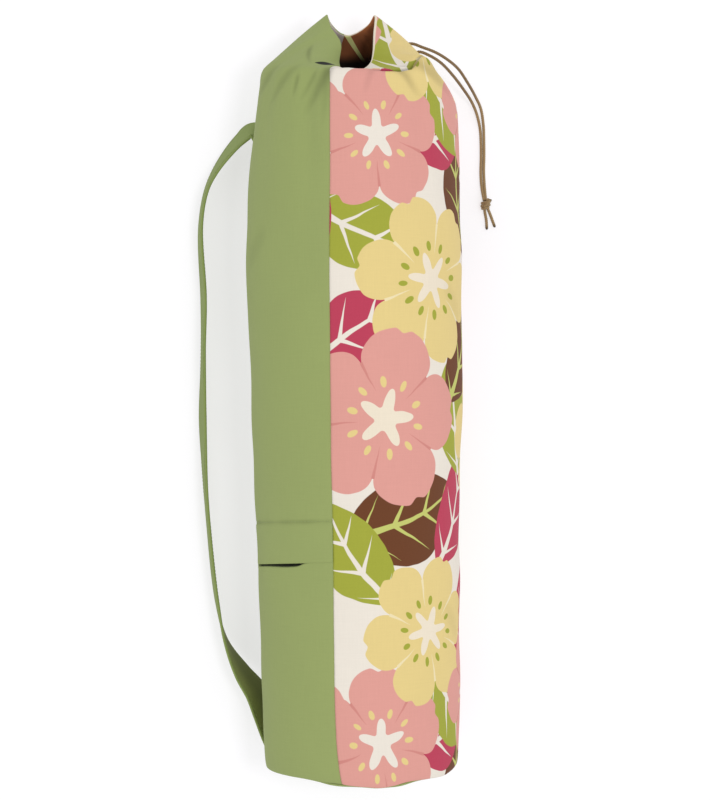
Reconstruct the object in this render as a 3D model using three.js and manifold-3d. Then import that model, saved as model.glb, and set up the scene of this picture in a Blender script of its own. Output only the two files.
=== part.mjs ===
// A drawstring bag for a rolled exercise mat, filled and lying on its back.
// Millimetres, +Z up. The bag's length runs along Y with the mouth at +Y, and the
// face that is seen looks up. The origin is on the underside, at mid length.
// Angles go round the tube in degrees: 0 is the top, +90 the right side, 180 the underside.
import * as THREE from 'three';
import Module from 'manifold-3d';
import { mergeVertices } from 'three/addons/utils/BufferGeometryUtils.js';

const wasm = await Module();
wasm.setup();

// Driving dimensions of the tube and its collar
const BODY_LENGTH = 612;
const BODY_RADIUS = 96;
const REST_FLAT = 3;
const CLOTH = 2;
const SEAM_GAP = 0.35;
const BASE_CLOTH = 3;
const COLLAR_RISE = 62;
const MOUTH_WIDTH = 44.6;
const MOUTH_DEPTH = 77;
const TUCK_DEPTH = 4;

// Driving dimensions of the green side and its pocket
const FRONT_SEAM_ANGLE = -12.8;
const BACK_SEAM_ANGLE = -166;
const POCKET_HEM_ALONG = 182;
const POCKET_HEM_SLANT = 7;
const POCKET_BAND = 39;
const POCKET_SEAM_SLANT = 5;
const POCKET_TUCK = 24;
const POCKET_DIP = 5;
const POCKET_CLEARANCE = 0.7;
const SLIT_GAPE = 2.6;
const SLIT_ANGLE = -62;
const SLIT_SPREAD = 24;

// Driving dimensions of the strap
const STRAP_WIDTH = 38;
const STRAP_THICKNESS = 2.4;
const STRAP_STANDOFF = 46;
const STRAP_SEAT_ANGLE = -125;
const STRAP_TAB = 26;
const STRAP_FOOT_ALONG = 7;
const STRAP_HEAD_ALONG = 566;
const STRAP_LIFT = 3;

// Driving dimensions of the drawstring
const CORD_DIAMETER = 2.5;
const CORD_STEPS = 46;
const CORD_SIDES = 8;
const KNOT_LENGTH = 11;
const KNOT_WIDTH = 10;
const KNOT_HEIGHT = 8;

// The tube's radius along its length, as shares of BODY_LENGTH and BODY_RADIUS
const TUBE_PROFILE = [
  { along: 0.0, radius: 0.876 },
  { along: 0.012, radius: 0.896 },
  { along: 0.04, radius: 0.908 },
  { along: 0.123, radius: 0.927 },
  { along: 0.19, radius: 0.926 },
  { along: 0.3, radius: 0.938 },
  { along: 0.392, radius: 0.95 },
  { along: 0.51, radius: 0.978 },
  { along: 0.62, radius: 0.988 },
  { along: 0.74, radius: 0.999 },
  { along: 0.8, radius: 0.992 },
  { along: 0.86, radius: 0.977 },
  { along: 0.92, radius: 0.97 },
  { along: 0.97, radius: 0.946 },
  { along: 1.0, radius: 0.93 },
];

// The shoulder, where the wall turns in to the collar. Radius is a share of BODY_RADIUS,
// along a share of BODY_LENGTH, and bulge, the collar's swell, a share of COLLAR_RISE.
const SHOULDER = [
  { angle: -166, radius: 0.917, along: 0.98, bulge: 0.13 },
  { angle: -125, radius: 0.917, along: 0.99, bulge: 0.08 },
  { angle: -90, radius: 0.853, along: 1.018, bulge: 0.02 },
  { angle: -50, radius: 0.896, along: 1.01, bulge: 0.05 },
  { angle: 0, radius: 0.927, along: 1.0, bulge: 0.0 },
  { angle: 37, radius: 0.927, along: 1.0, bulge: 0.0 },
  { angle: 46, radius: 0.937, along: 1.024, bulge: 0.0 },
  { angle: 60, radius: 0.927, along: 1.005, bulge: 0.05 },
  { angle: 75, radius: 0.948, along: 0.982, bulge: 0.08 },
  { angle: 90, radius: 0.975, along: 0.968, bulge: 0.09 },
  { angle: 130, radius: 0.958, along: 0.977, bulge: 0.09 },
];

// The rim of the mouth: two peaks at the sides with a valley above and below. Side is a
// share of MOUTH_WIDTH, height of MOUTH_DEPTH from the tube's axis, rise of COLLAR_RISE.
const RIM = [
  { angle: -166, side: -0.18, height: -0.25, rise: 0.79 },
  { angle: -140, side: -0.34, height: -0.2, rise: 0.84 },
  { angle: -115, side: -0.46, height: -0.12, rise: 0.935 },
  { angle: -90, side: -0.493, height: -0.026, rise: 1.0 },
  { angle: -65, side: -0.36, height: 0.156, rise: 0.78 },
  { angle: -40, side: -0.19, height: 0.286, rise: 0.54 },
  { angle: -12.8, side: -0.213, height: 0.494, rise: 0.22 },
  { angle: 10, side: 0.157, height: 0.545, rise: 0.185 },
  { angle: 30, side: 0.37, height: 0.468, rise: 0.26 },
  { angle: 50, side: 0.437, height: 0.364, rise: 0.42 },
  { angle: 72, side: 0.471, height: 0.156, rise: 0.71 },
  { angle: 90, side: 0.509, height: -0.026, rise: 1.0 },
  { angle: 115, side: 0.381, height: -0.12, rise: 0.9 },
  { angle: 145, side: 0.179, height: -0.2, rise: 0.815 },
  { angle: 168, side: 0.0, height: -0.25, rise: 0.775 },
];

// Tucks where the drawstring pulls the cloth in. Depth is a share of TUCK_DEPTH, and
// spread is the tuck's half width in degrees.
const TUCKS = [
  { angle: -24, depth: 1.0, spread: 6 },
  { angle: -58, depth: 0.5, spread: 8 },
  { angle: 40, depth: 0.6, spread: 6 },
  { angle: 118, depth: 0.7, spread: 9 },
  { angle: 152, depth: 0.7, spread: 9 },
  { angle: -142, depth: 0.7, spread: 9 },
];

// The strap's free run from foot to head. Along is a share of BODY_LENGTH, out of
// STRAP_STANDOFF beyond the tube's side, up of STRAP_WIDTH. Lean is in degrees, and is
// positive where the upper edge tips to the right of the run.
const STRAP_RUN = [
  { along: 0.04, out: -0.07, up: 0.79, lean: -36 },
  { along: 0.069, out: 0.065, up: 0.76, lean: -38 },
  { along: 0.098, out: 0.22, up: 0.69, lean: -38 },
  { along: 0.131, out: 0.5, up: 0.61, lean: -32 },
  { along: 0.176, out: 0.76, up: 0.55, lean: -9 },
  { along: 0.234, out: 0.96, up: 0.53, lean: 5 },
  { along: 0.353, out: 1.05, up: 0.53, lean: 5 },
  { along: 0.42, out: 1.08, up: 0.53, lean: 8 },
  { along: 0.511, out: 1.054, up: 0.53, lean: 12 },
  { along: 0.613, out: 1.015, up: 0.53, lean: 8 },
  { along: 0.696, out: 0.965, up: 0.53, lean: 10 },
  { along: 0.804, out: 1.015, up: 0.53, lean: 8 },
  { along: 0.858, out: 0.924, up: 0.54, lean: 9 },
  { along: 0.889, out: 0.735, up: 0.58, lean: 13 },
  { along: 0.915, out: 0.485, up: 0.66, lean: 18 },
  { along: 0.934, out: 0.248, up: 0.75, lean: 22 },
  { along: 0.946, out: 0.04, up: 0.79, lean: 27 },
  { along: 0.944, out: -0.13, up: 0.82, lean: 31 },
];

// Routes of the two strands, chosen by hand, from the collar to the knot
const STRAND_A_ROUTE = [
  [43.6, 343.2, 66], [54.6, 345.2, 67], [65, 341.8, 66], [76, 338.2, 61.6],
  [86.3, 333.4, 54], [97.4, 326, 43.5], [107.2, 314.6, 29], [115.2, 303.4, 14.5],
  [120.5, 293.5, 5], [122.9, 279, 1.6], [123.3, 265, 1.6], [123.2, 250, 1.6],
  [122.6, 236, 1.6], [122.8, 225, 1.8], [123, 217.5, 2.5], [123.1, 210.5, 3.8],
];
const STRAND_B_ROUTE = [
  [51.6, 335.4, 63.6], [61.8, 338, 64.8], [70.6, 335.1, 63], [81.4, 329.4, 56],
  [92.2, 320.4, 43.5], [103.2, 308.9, 28], [112, 298, 13.5], [116.8, 288, 4.8],
  [119.5, 275, 1.6], [120.2, 262, 1.6], [120.1, 248, 1.6], [119.6, 235, 1.6],
  [119.7, 225, 1.8], [120, 217.5, 2.5], [120.1, 210.5, 3.8],
];
const TAIL_ROUTES = [
  [[121, 206, 3.6], [123, 198, 1.9], [124.4, 190, 1.4], [124.6, 181, 1.4]],
  [[123, 206, 3.6], [127.2, 198.5, 1.9], [130.2, 190.5, 1.4], [132.2, 183, 1.4]],
];
const KNOT_CENTRE = [121.6, 207, 4.2];

const BODY_MIDDLE = BODY_LENGTH / 2;
const WALL_FOOT = BASE_CLOTH + SEAM_GAP;
const SEAM_HALF_ANGLE = THREE.MathUtils.radToDeg(SEAM_GAP / MOUTH_DEPTH);
const FULL_TURN = 360;
const HALF_TURN = FULL_TURN / 2;
const QUARTER_TURN = FULL_TURN / 4;

const sine = (degrees) => Math.sin(THREE.MathUtils.degToRad(degrees));
const cosine = (degrees) => Math.cos(THREE.MathUtils.degToRad(degrees));
const ease = (share) => THREE.MathUtils.smoothstep(share, 0, 1);

// Smooth value of one column of a table at a place along its key column. A table that
// goes right round the tube gives the turn as its period.
function readTable(rows, key, column, at, period = 0) {
  const knots = rows.map((row) => [row[key], row[column]]);
  let place = at;
  if (period) {
    const first = knots[0][0];
    place = first + THREE.MathUtils.euclideanModulo(at - first, period);
    const before = knots.slice(-2).map(([k, v]) => [k - period, v]);
    const after = knots.slice(0, 2).map(([k, v]) => [k + period, v]);
    knots.unshift(...before);
    knots.push(...after);
  }
  if (place <= knots[0][0]) return knots[0][1];
  if (place >= knots.at(-1)[0]) return knots.at(-1)[1];
  const right = knots.findIndex(([k]) => k > place);
  const left = right - 1;
  const slope = (i) => {
    const low = knots[Math.max(i - 1, 0)];
    const high = knots[Math.min(i + 1, knots.length - 1)];
    return (high[1] - low[1]) / (high[0] - low[0]);
  };
  const span = knots[right][0] - knots[left][0];
  const t = (place - knots[left][0]) / span;
  const rise = t * t * (3 - 2 * t);
  const leave = t * (1 - t) * (1 - t) * span * slope(left);
  const arrive = t * t * (t - 1) * span * slope(right);
  return knots[left][1] * (1 - rise) + knots[right][1] * rise + leave + arrive;
}

const tubeRadius = (along) =>
  BODY_RADIUS * readTable(TUBE_PROFILE, 'along', 'radius', along / BODY_LENGTH);
const axisHeight = (along) => tubeRadius(along) - REST_FLAT;
const shoulder = (angle, column) => readTable(SHOULDER, 'angle', column, angle, FULL_TURN);
const rim = (angle, column) => readTable(RIM, 'angle', column, angle, FULL_TURN);

// How far the tucks pull the cloth in at a station, where station 1 is the shoulder.
const TUCK_REACH = 0.16;
function tuckDepth(angle, station) {
  let depth = 0;
  for (const tuck of TUCKS) {
    const turn = THREE.MathUtils.euclideanModulo(angle - tuck.angle + HALF_TURN, FULL_TURN) - HALF_TURN;
    const across = Math.exp(-((turn / tuck.spread) ** 2));
    const nearShoulder = Math.exp(-(((station - 1) / TUCK_REACH) ** 2));
    depth += TUCK_DEPTH * tuck.depth * across * nearShoulder;
  }
  return depth;
}

// A point of the cloth's outer face. Station 0 is the foot of the wall, 1 the shoulder
// and 2 the rim. Inset moves the point towards the tube's axis.
const SHOULDER_BLEND = 0.2;
const SWELL_SIDEWAYS = 0.5;
function clothPoint(angle, station, inset = 0) {
  const shoulderAlong = BODY_LENGTH * shoulder(angle, 'along');
  const shoulderRadius = BODY_RADIUS * shoulder(angle, 'radius');
  const pull = inset + tuckDepth(angle, station);
  if (station <= 1) {
    const along = WALL_FOOT + (shoulderAlong - WALL_FOOT) * station;
    const blend = ease((station - 1 + SHOULDER_BLEND) / SHOULDER_BLEND);
    const change = shoulderRadius - tubeRadius(shoulderAlong);
    const radius = tubeRadius(along) + change * blend - pull;
    const height = axisHeight(along) + radius * cosine(angle);
    return new THREE.Vector3(radius * sine(angle), along - BODY_MIDDLE, Math.max(inset, height));
  }
  const share = station - 1;
  const radius = shoulderRadius - pull;
  const height = axisHeight(shoulderAlong) + radius * cosine(angle);
  const from = [radius * sine(angle), shoulderAlong, height];
  const to = [
    MOUTH_WIDTH * rim(angle, 'side'),
    BODY_LENGTH + COLLAR_RISE * rim(angle, 'rise'),
    axisHeight(BODY_LENGTH) + MOUTH_DEPTH * rim(angle, 'height'),
  ];
  const swell = COLLAR_RISE * shoulder(angle, 'bulge') * Math.sin(Math.PI * share);
  const x = THREE.MathUtils.lerp(from[0], to[0], share) + SWELL_SIDEWAYS * swell * sine(angle);
  const along = THREE.MathUtils.lerp(from[1], to[1], share) + swell;
  const z = THREE.MathUtils.lerp(from[2], to[2], share) + SWELL_SIDEWAYS * swell * cosine(angle);
  return new THREE.Vector3(x, along - BODY_MIDDLE, Math.max(inset, z));
}

// The station of the wall at a distance from the base.
function stationAt(along, angle) {
  return (along - WALL_FOOT) / (BODY_LENGTH * shoulder(angle, 'along') - WALL_FOOT);
}

// The pocket's hem and the seam above it run a little slanted round the tube.
const hemAlong = (angle) => POCKET_HEM_ALONG + POCKET_HEM_SLANT * cosine(angle);
const seamAlong = (angle) => POCKET_HEM_ALONG + POCKET_BAND + POCKET_SEAM_SLANT * cosine(angle);

// Outward direction of a cloth face, from its own neighbourhood.
const NEAR_ANGLE = 0.5;
const NEAR_STATION = 0.004;
function outward(face, angle, station, low, high) {
  const round = face(angle + NEAR_ANGLE, station).sub(face(angle - NEAR_ANGLE, station));
  const before = Math.max(low, station - NEAR_STATION);
  const after = Math.min(high, station + NEAR_STATION);
  const lengthwise = face(angle, after).sub(face(angle, before));
  return round.cross(lengthwise).normalize();
}

function meshGeometry(points, triangles) {
  const geometry = new THREE.BufferGeometry();
  const numbers = points.flatMap((point) => [point.x, point.y, point.z]);
  geometry.setAttribute('position', new THREE.Float32BufferAttribute(numbers, 3));
  geometry.setIndex(triangles.flat());
  geometry.computeVertexNormals();
  return geometry;
}

// A sheet of cloth: an outer grid, the same grid one thickness further in, and the four
// edges between them. Columns are angles, rows are stations for each angle.
function clothPanel(face, angles, stationsAt) {
  const outer = [];
  const inner = [];
  const rows = stationsAt(angles[0]).length;
  for (const angle of angles) {
    const stations = stationsAt(angle);
    for (const station of stations) {
      const point = face(angle, station);
      const normal = outward(face, angle, station, stations[0], stations.at(-1));
      outer.push(point);
      inner.push(point.clone().addScaledVector(normal, -CLOTH));
    }
  }
  const count = outer.length;
  const at = (column, row) => column * rows + row;
  const triangles = [];
  const last = angles.length - 1;
  for (let column = 0; column < last; column += 1) {
    for (let row = 0; row < rows - 1; row += 1) {
      const [a, b] = [at(column, row), at(column + 1, row)];
      const [d, c] = [at(column, row + 1), at(column + 1, row + 1)];
      triangles.push([a, b, c], [a, c, d]);
      triangles.push([count + a, count + c, count + b], [count + a, count + d, count + c]);
    }
  }
  const edge = [];
  for (let column = 0; column < last; column += 1) {
    edge.push([at(column, 0), at(column + 1, 0)]);
    edge.push([at(column + 1, rows - 1), at(column, rows - 1)]);
  }
  for (let row = 0; row < rows - 1; row += 1) {
    edge.push([at(last, row), at(last, row + 1)]);
    edge.push([at(0, row + 1), at(0, row)]);
  }
  for (const [p, q] of edge) triangles.push([q, p, count + p], [q, count + p, count + q]);
  return meshGeometry([...outer, ...inner], triangles);
}

// A solid through closed rings of points, each listed clockwise as seen along the run,
// with a fan at each end.
function loftRings(rings) {
  const size = rings[0].length;
  const points = rings.flat();
  const triangles = [];
  for (let ring = 0; ring < rings.length - 1; ring += 1) {
    for (let side = 0; side < size; side += 1) {
      const next = (side + 1) % size;
      const a = ring * size + side;
      const b = ring * size + next;
      triangles.push([a, a + size, b + size], [a, b + size, b]);
    }
  }
  const middle = (ring) =>
    ring.reduce((sum, point) => sum.add(point), new THREE.Vector3()).divideScalar(size);
  points.push(middle(rings[0]), middle(rings.at(-1)));
  const endStart = (rings.length - 1) * size;
  for (let side = 0; side < size; side += 1) {
    const next = (side + 1) % size;
    triangles.push([points.length - 2, side, next]);
    triangles.push([points.length - 1, endStart + next, endStart + side]);
  }
  return meshGeometry(points, triangles);
}

function spread(from, to, steps) {
  return Array.from({ length: steps + 1 }, (_, i) => from + ((to - from) * i) / steps);
}

function fabric(color) {
  return new THREE.MeshStandardMaterial({ color, roughness: 0.9, metalness: 0 });
}

function piece(name, geometry, color) {
  const mesh = new THREE.Mesh(geometry, fabric(color));
  mesh.name = name;
  return mesh;
}

// The printed side, from the front seam round the right side to the back seam.
const PRINT_COLUMNS = 42;
const WALL_ROWS = 13;
const COLLAR_ROWS = 8;
function printPanel() {
  const from = FRONT_SEAM_ANGLE + SEAM_HALF_ANGLE;
  const to = BACK_SEAM_ANGLE + FULL_TURN - SEAM_HALF_ANGLE;
  const stations = [...spread(0, 1, WALL_ROWS), ...spread(1, 2, COLLAR_ROWS).slice(1)];
  return clothPanel(clothPoint, spread(from, to, PRINT_COLUMNS), () => stations);
}

const GREEN_COLUMNS = 32;
const greenAngles = () =>
  spread(BACK_SEAM_ANGLE + SEAM_HALF_ANGLE, FRONT_SEAM_ANGLE - SEAM_HALF_ANGLE, GREEN_COLUMNS);

// The green side above the pocket, whose lower edge is the hem over the pocket.
const UPPER_ROWS = 9;
function plainPanel() {
  const stationsAt = (angle) => {
    const hem = stationAt(hemAlong(angle), angle);
    const seam = stationAt(seamAlong(angle), angle);
    const wall = [hem, ...spread(seam, 1, UPPER_ROWS)];
    return [...wall, ...spread(1, 2, COLLAR_ROWS).slice(1)];
  };
  return clothPanel(clothPoint, greenAngles(), stationsAt);
}

// The green side below the hem. It turns in just below the hem and gapes along the slit.
const LOWER_ROWS = 5;
const TUCKED_ROWS = 2;
const DIP_SHARES = [1, 0.6, 0.2];
function pocketPanel() {
  const face = (angle, station) => {
    const along = WALL_FOOT + station * (BODY_LENGTH * shoulder(angle, 'along') - WALL_FOOT);
    const below = (hemAlong(angle) - along) / POCKET_DIP;
    const under = ease((DIP_SHARES[0] - below) / (DIP_SHARES[0] - DIP_SHARES[2]));
    const gape = SLIT_GAPE * Math.exp(-(((angle - SLIT_ANGLE) / SLIT_SPREAD) ** 4));
    return clothPoint(angle, station, under * (CLOTH + POCKET_CLEARANCE + gape));
  };
  const stationsAt = (angle) => [
    ...spread(0, stationAt(hemAlong(angle) - POCKET_DIP, angle), LOWER_ROWS).slice(0, -1),
    ...DIP_SHARES.map((share) => stationAt(hemAlong(angle) - share * POCKET_DIP, angle)),
    ...spread(
      stationAt(hemAlong(angle), angle),
      stationAt(hemAlong(angle) + POCKET_TUCK, angle),
      TUCKED_ROWS,
    ),
  ];
  return clothPanel(face, greenAngles(), stationsAt);
}

// The round bottom, with a rounded edge and the same flat underside as the tube.
const BASE_SECTIONS = [
  { along: 0.0, radius: 0.965 },
  { along: 0.3, radius: 1.0 },
  { along: 0.75, radius: 1.0 },
  { along: 1.0, radius: 0.985 },
];
const BASE_COLUMNS = 56;
function baseDisc() {
  const rings = BASE_SECTIONS.map((section) =>
    spread(FULL_TURN, 0, BASE_COLUMNS).slice(0, -1).map((angle) => {
      const radius = tubeRadius(0) * section.radius;
      const height = Math.max(0, axisHeight(0) + radius * cosine(angle));
      return new THREE.Vector3(radius * sine(angle), section.along * BASE_CLOTH - BODY_MIDDLE, height);
    }),
  );
  return loftRings(rings);
}

// A strap station seated on the wall and tangent to it, one gap and a lift off it.
function strapSeat(along, lean, lift = 0) {
  const station = stationAt(along, STRAP_SEAT_ANGLE);
  const wall = clothPoint(STRAP_SEAT_ANGLE, station);
  const normal = outward(clothPoint, STRAP_SEAT_ANGLE, station, 0, 1);
  return { place: wall.addScaledVector(normal, SEAM_GAP + lift + STRAP_THICKNESS / 2), lean };
}

// The strap, a flat band along a smooth run, whose tabs lie on the wall.
const STRAP_STATIONS = 72;
const UP = new THREE.Vector3(0, 0, 1);
function strap() {
  const seatLean = HALF_TURN + STRAP_SEAT_ANGLE - QUARTER_TURN;
  const free = STRAP_RUN.map((row) => {
    const along = row.along * BODY_LENGTH;
    const side = -(tubeRadius(along) + STRAP_STANDOFF * row.out);
    const place = new THREE.Vector3(side, along - BODY_MIDDLE, STRAP_WIDTH * row.up);
    return { place, lean: row.lean };
  });
  const run = [
    strapSeat(STRAP_FOOT_ALONG, seatLean, STRAP_THICKNESS / 3),
    ...free,
    strapSeat(STRAP_HEAD_ALONG, -seatLean, STRAP_LIFT),
    strapSeat(STRAP_HEAD_ALONG - STRAP_TAB / 2, -seatLean, SEAM_GAP),
    strapSeat(STRAP_HEAD_ALONG - STRAP_TAB, -seatLean),
  ];
  const curve = new THREE.CatmullRomCurve3(run.map((stop) => stop.place), false, 'centripetal');
  const stops = run.map((stop, i) => ({ at: i / (run.length - 1), lean: stop.lean }));
  const rings = spread(0, 1, STRAP_STATIONS).map((share) => {
    const place = curve.getPoint(share);
    const ahead = curve.getTangent(share);
    const side = ahead.clone().cross(UP).normalize();
    const rise = side.clone().cross(ahead).normalize();
    const lean = readTable(stops, 'at', 'lean', share);
    const across = rise.clone().multiplyScalar(cosine(lean)).addScaledVector(side, sine(lean));
    const through = across.clone().cross(ahead).normalize();
    const corner = (w, t) =>
      place.clone()
        .addScaledVector(across, (w * STRAP_WIDTH) / 2)
        .addScaledVector(through, (t * STRAP_THICKNESS) / 2);
    return [corner(1, -1), corner(1, 1), corner(-1, 1), corner(-1, -1)];
  });
  return loftRings(rings);
}

// A round cord along a route.
function cordTube(route, steps, diameter = CORD_DIAMETER) {
  const path = new THREE.CatmullRomCurve3(route.map((p) => new THREE.Vector3(...p)));
  const section = new THREE.Shape();
  for (let side = 0; side < CORD_SIDES; side += 1) {
    const turn = (side * FULL_TURN) / CORD_SIDES;
    const x = (diameter / 2) * cosine(turn);
    const y = (diameter / 2) * sine(turn);
    if (side) section.lineTo(x, y);
    else section.moveTo(x, y);
  }
  section.closePath();
  const options = { steps, extrudePath: path, bevelEnabled: false };
  return new THREE.ExtrudeGeometry(section, options);
}

function toSolid(geometry) {
  const bare = geometry.clone();
  bare.deleteAttribute('normal');
  bare.deleteAttribute('uv');
  const merged = mergeVertices(bare, 1e-4);
  const vertProperties = new Float32Array(merged.attributes.position.array);
  const triVerts = new Uint32Array(merged.index.array);
  return new wasm.Manifold(new wasm.Mesh({ numProp: 3, vertProperties, triVerts }));
}

function fromSolid(solid) {
  const mesh = solid.getMesh();
  const geometry = new THREE.BufferGeometry();
  geometry.setAttribute('position', new THREE.BufferAttribute(mesh.vertProperties, 3));
  geometry.setIndex(new THREE.BufferAttribute(mesh.triVerts, 1));
  geometry.computeVertexNormals();
  return geometry;
}

const SOCKET_STEPS = 6;

// The room that a strand's end needs in the knot: a wider tube that runs on a little.
function cordSocket(strand) {
  const [before, end] = strand.slice(-2).map((p) => new THREE.Vector3(...p));
  const onward = end.clone().sub(before).setLength(SEAM_GAP);
  const beyond = end.clone().add(onward).toArray();
  const route = [before.toArray(), end.toArray(), beyond];
  return cordTube(route, SOCKET_STEPS, CORD_DIAMETER + 2 * SEAM_GAP);
}

// The knot with its two ends, less a clearance round each strand that enters it.
const KNOT_SIDES = 14;
const KNOT_RINGS = 9;
const TAIL_STEPS = 7;
function knot() {
  const lump = new THREE.SphereGeometry(0.5, KNOT_SIDES, KNOT_RINGS);
  lump.scale(KNOT_WIDTH, KNOT_LENGTH, KNOT_HEIGHT);
  lump.translate(...KNOT_CENTRE);
  let solid = toSolid(lump);
  for (const route of TAIL_ROUTES) solid = solid.add(toSolid(cordTube(route, TAIL_STEPS)));
  for (const strand of [STRAND_A_ROUTE, STRAND_B_ROUTE]) {
    solid = solid.subtract(toSolid(cordSocket(strand)));
  }
  return fromSolid(solid);
}

const GREEN = 0x95a368;
const CREAM = 0xe9e2d6;
const CORD_BROWN = 0x8a6f4a;

const bag = new THREE.Group();
const strandA = cordTube(STRAND_A_ROUTE, CORD_STEPS);
const strandB = cordTube(STRAND_B_ROUTE, CORD_STEPS);
bag.add(piece('panel_print', printPanel(), CREAM));
bag.add(piece('panel_plain', plainPanel(), GREEN));
bag.add(piece('pocket_panel', pocketPanel(), GREEN));
bag.add(piece('base_disc', baseDisc(), GREEN));
bag.add(piece('strap', strap(), GREEN));
bag.add(piece('drawstring_strand_a', strandA, CORD_BROWN));
bag.add(piece('drawstring_strand_b', strandB, CORD_BROWN));
bag.add(piece('drawstring_knot', knot(), CORD_BROWN));

export default bag;
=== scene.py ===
# %% [markdown]
# A bag for a rolled exercise mat
#
# The bag is a cloth tube with a round bottom and a mouth that a cord gathers into two
# peaks. It lies on its back, full, and we look straight down on it. One side is plain
# green canvas with a pocket, the other a large flower print. Every piece below is a
# surface worked out with numpy, so that each shape is a formula that you can change.

# %% Load the frame
import math

import bpy
import numpy as np
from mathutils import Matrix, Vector


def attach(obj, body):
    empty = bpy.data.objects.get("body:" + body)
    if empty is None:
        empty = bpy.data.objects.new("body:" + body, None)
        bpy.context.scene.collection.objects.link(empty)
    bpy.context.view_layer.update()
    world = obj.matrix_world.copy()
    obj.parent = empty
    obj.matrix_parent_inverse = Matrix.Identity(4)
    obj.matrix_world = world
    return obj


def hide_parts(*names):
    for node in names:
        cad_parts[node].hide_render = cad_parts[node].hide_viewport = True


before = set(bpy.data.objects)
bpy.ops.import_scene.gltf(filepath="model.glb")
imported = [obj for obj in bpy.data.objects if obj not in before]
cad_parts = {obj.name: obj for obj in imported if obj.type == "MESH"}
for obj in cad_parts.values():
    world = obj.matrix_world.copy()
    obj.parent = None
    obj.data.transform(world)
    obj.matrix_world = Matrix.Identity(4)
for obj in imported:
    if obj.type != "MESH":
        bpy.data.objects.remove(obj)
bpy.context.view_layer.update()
print("pieces of the frame:", sorted(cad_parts))

# %% [markdown]
# The camera hangs straight above the bag, 1.9 m from the tube's axis, and is turned by a
# little less than a degree. The focal length follows from the picture: at that distance
# one pixel of the 800 in its height covers 0.895 mm.

# %% Camera
MM = 0.001
AXIS_HEIGHT = 0.089
VIEW_DISTANCE = 1.9
PIXEL_AT_AXIS = 0.895 * MM
PICTURE_HEIGHT = 800
SENSOR = 36.0

camera_data = bpy.data.cameras.new("camera")
camera_data.sensor_width = SENSOR
camera_data.lens = SENSOR * VIEW_DISTANCE / (PIXEL_AT_AXIS * PICTURE_HEIGHT)
camera = bpy.data.objects.new("camera", camera_data)
camera.location = (-0.0012, 0.0234, AXIS_HEIGHT + VIEW_DISTANCE)
camera.rotation_euler = (0.0, 0.0, math.radians(-0.854))
bpy.context.scene.collection.objects.link(camera)
bpy.context.scene.camera = camera
print("lens:", round(camera_data.lens, 1), "mm")

# %% [markdown]
# Two helpers turn arrays into Blender meshes. A grid of points, column by column, needs
# only one rule for its faces: each face joins a point with its neighbours in the next
# column and the next row. Cloth has two finishes, so a face may carry a material number.

# %% Arrays to meshes
TINY = 1e-12


def grid_faces(columns, rows, round_columns=False, round_rows=False):
    """Faces (column, row), (next column, row), (next column, next row), (column, next row) of a
    grid stored column by column. A round direction joins its last line to its first."""
    wide = columns if round_columns else columns - 1
    tall = rows if round_rows else rows - 1
    column, row = np.meshgrid(np.arange(wide), np.arange(tall), indexing="ij")
    here = column.ravel()
    along = row.ravel()
    beside = (here + 1) % columns
    above = (along + 1) % rows
    corners = [here * rows + along, beside * rows + along, beside * rows + above, here * rows + above]
    return np.stack(corners, axis=1)


def new_piece(name, points, faces, materials, numbers=None, cloth_map=None):
    """Makes a smooth shaded mesh object that rides on the one body."""
    mesh = bpy.data.meshes.new(name)
    mesh.from_pydata(np.asarray(points).reshape(-1, 3).tolist(), [], [list(face) for face in faces])
    for material in materials:
        mesh.materials.append(material)
    if numbers is not None:
        mesh.polygons.foreach_set("material_index", np.asarray(numbers, dtype=np.int32))
    if cloth_map is not None:
        corner = np.empty(len(mesh.loops), dtype=np.int32)
        mesh.loops.foreach_get("vertex_index", corner)
        layer = mesh.uv_layers.new(name="cloth")
        layer.uv.foreach_set("vector", cloth_map.reshape(-1, 2)[corner].astype(np.float32).ravel())
    mesh.polygons.foreach_set("use_smooth", np.ones(len(mesh.polygons), dtype=bool))
    mesh.update()
    piece = bpy.data.objects.new(name, mesh)
    bpy.context.scene.collection.objects.link(piece)
    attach(piece, "root")
    return piece


def add_attribute(piece, name, values):
    """Stores one number for each vertex, for a material to read."""
    attribute = piece.data.attributes.new(name, "FLOAT", "POINT")
    attribute.data.foreach_set("value", np.asarray(values, dtype=np.float32).ravel())


def unit(vectors):
    """Vectors divided by their lengths."""
    length = np.linalg.norm(vectors, axis=-1, keepdims=True)
    return vectors / np.maximum(length, TINY)


print("a ring of 4 columns and 3 rows has", len(grid_faces(4, 3, round_columns=True)), "faces")

# %% [markdown]
# Node trees read best when each line is one step of the arithmetic. These small helpers
# add a node, set its numbers or links, and return the socket that the next line uses.

# %% Node helpers
def put(tree, socket, value):
    """Links a socket to another one, or sets its number."""
    if isinstance(value, bpy.types.NodeSocket):
        tree.links.new(value, socket)
    else:
        socket.default_value = value


def math_step(tree, operation, *values):
    """One step of arithmetic on numbers."""
    node = tree.nodes.new("ShaderNodeMath")
    node.operation = operation
    for socket, value in zip(node.inputs, values):
        put(tree, socket, value)
    return node.outputs[0]


def vector_step(tree, operation, *values):
    """One step of arithmetic on vectors."""
    node = tree.nodes.new("ShaderNodeVectorMath")
    node.operation = operation
    for socket, value in zip(node.inputs, values):
        put(tree, socket, value)
    return node.outputs["Value" if operation == "LENGTH" else "Vector"]


def soft_step(tree, value, low, high):
    """0 where value is under low, 1 over high, with a smooth run between them."""
    node = tree.nodes.new("ShaderNodeMapRange")
    node.interpolation_type = "SMOOTHSTEP"
    put(tree, node.inputs["Value"], value)
    put(tree, node.inputs["From Min"], low)
    put(tree, node.inputs["From Max"], high)
    return node.outputs["Result"]


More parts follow.
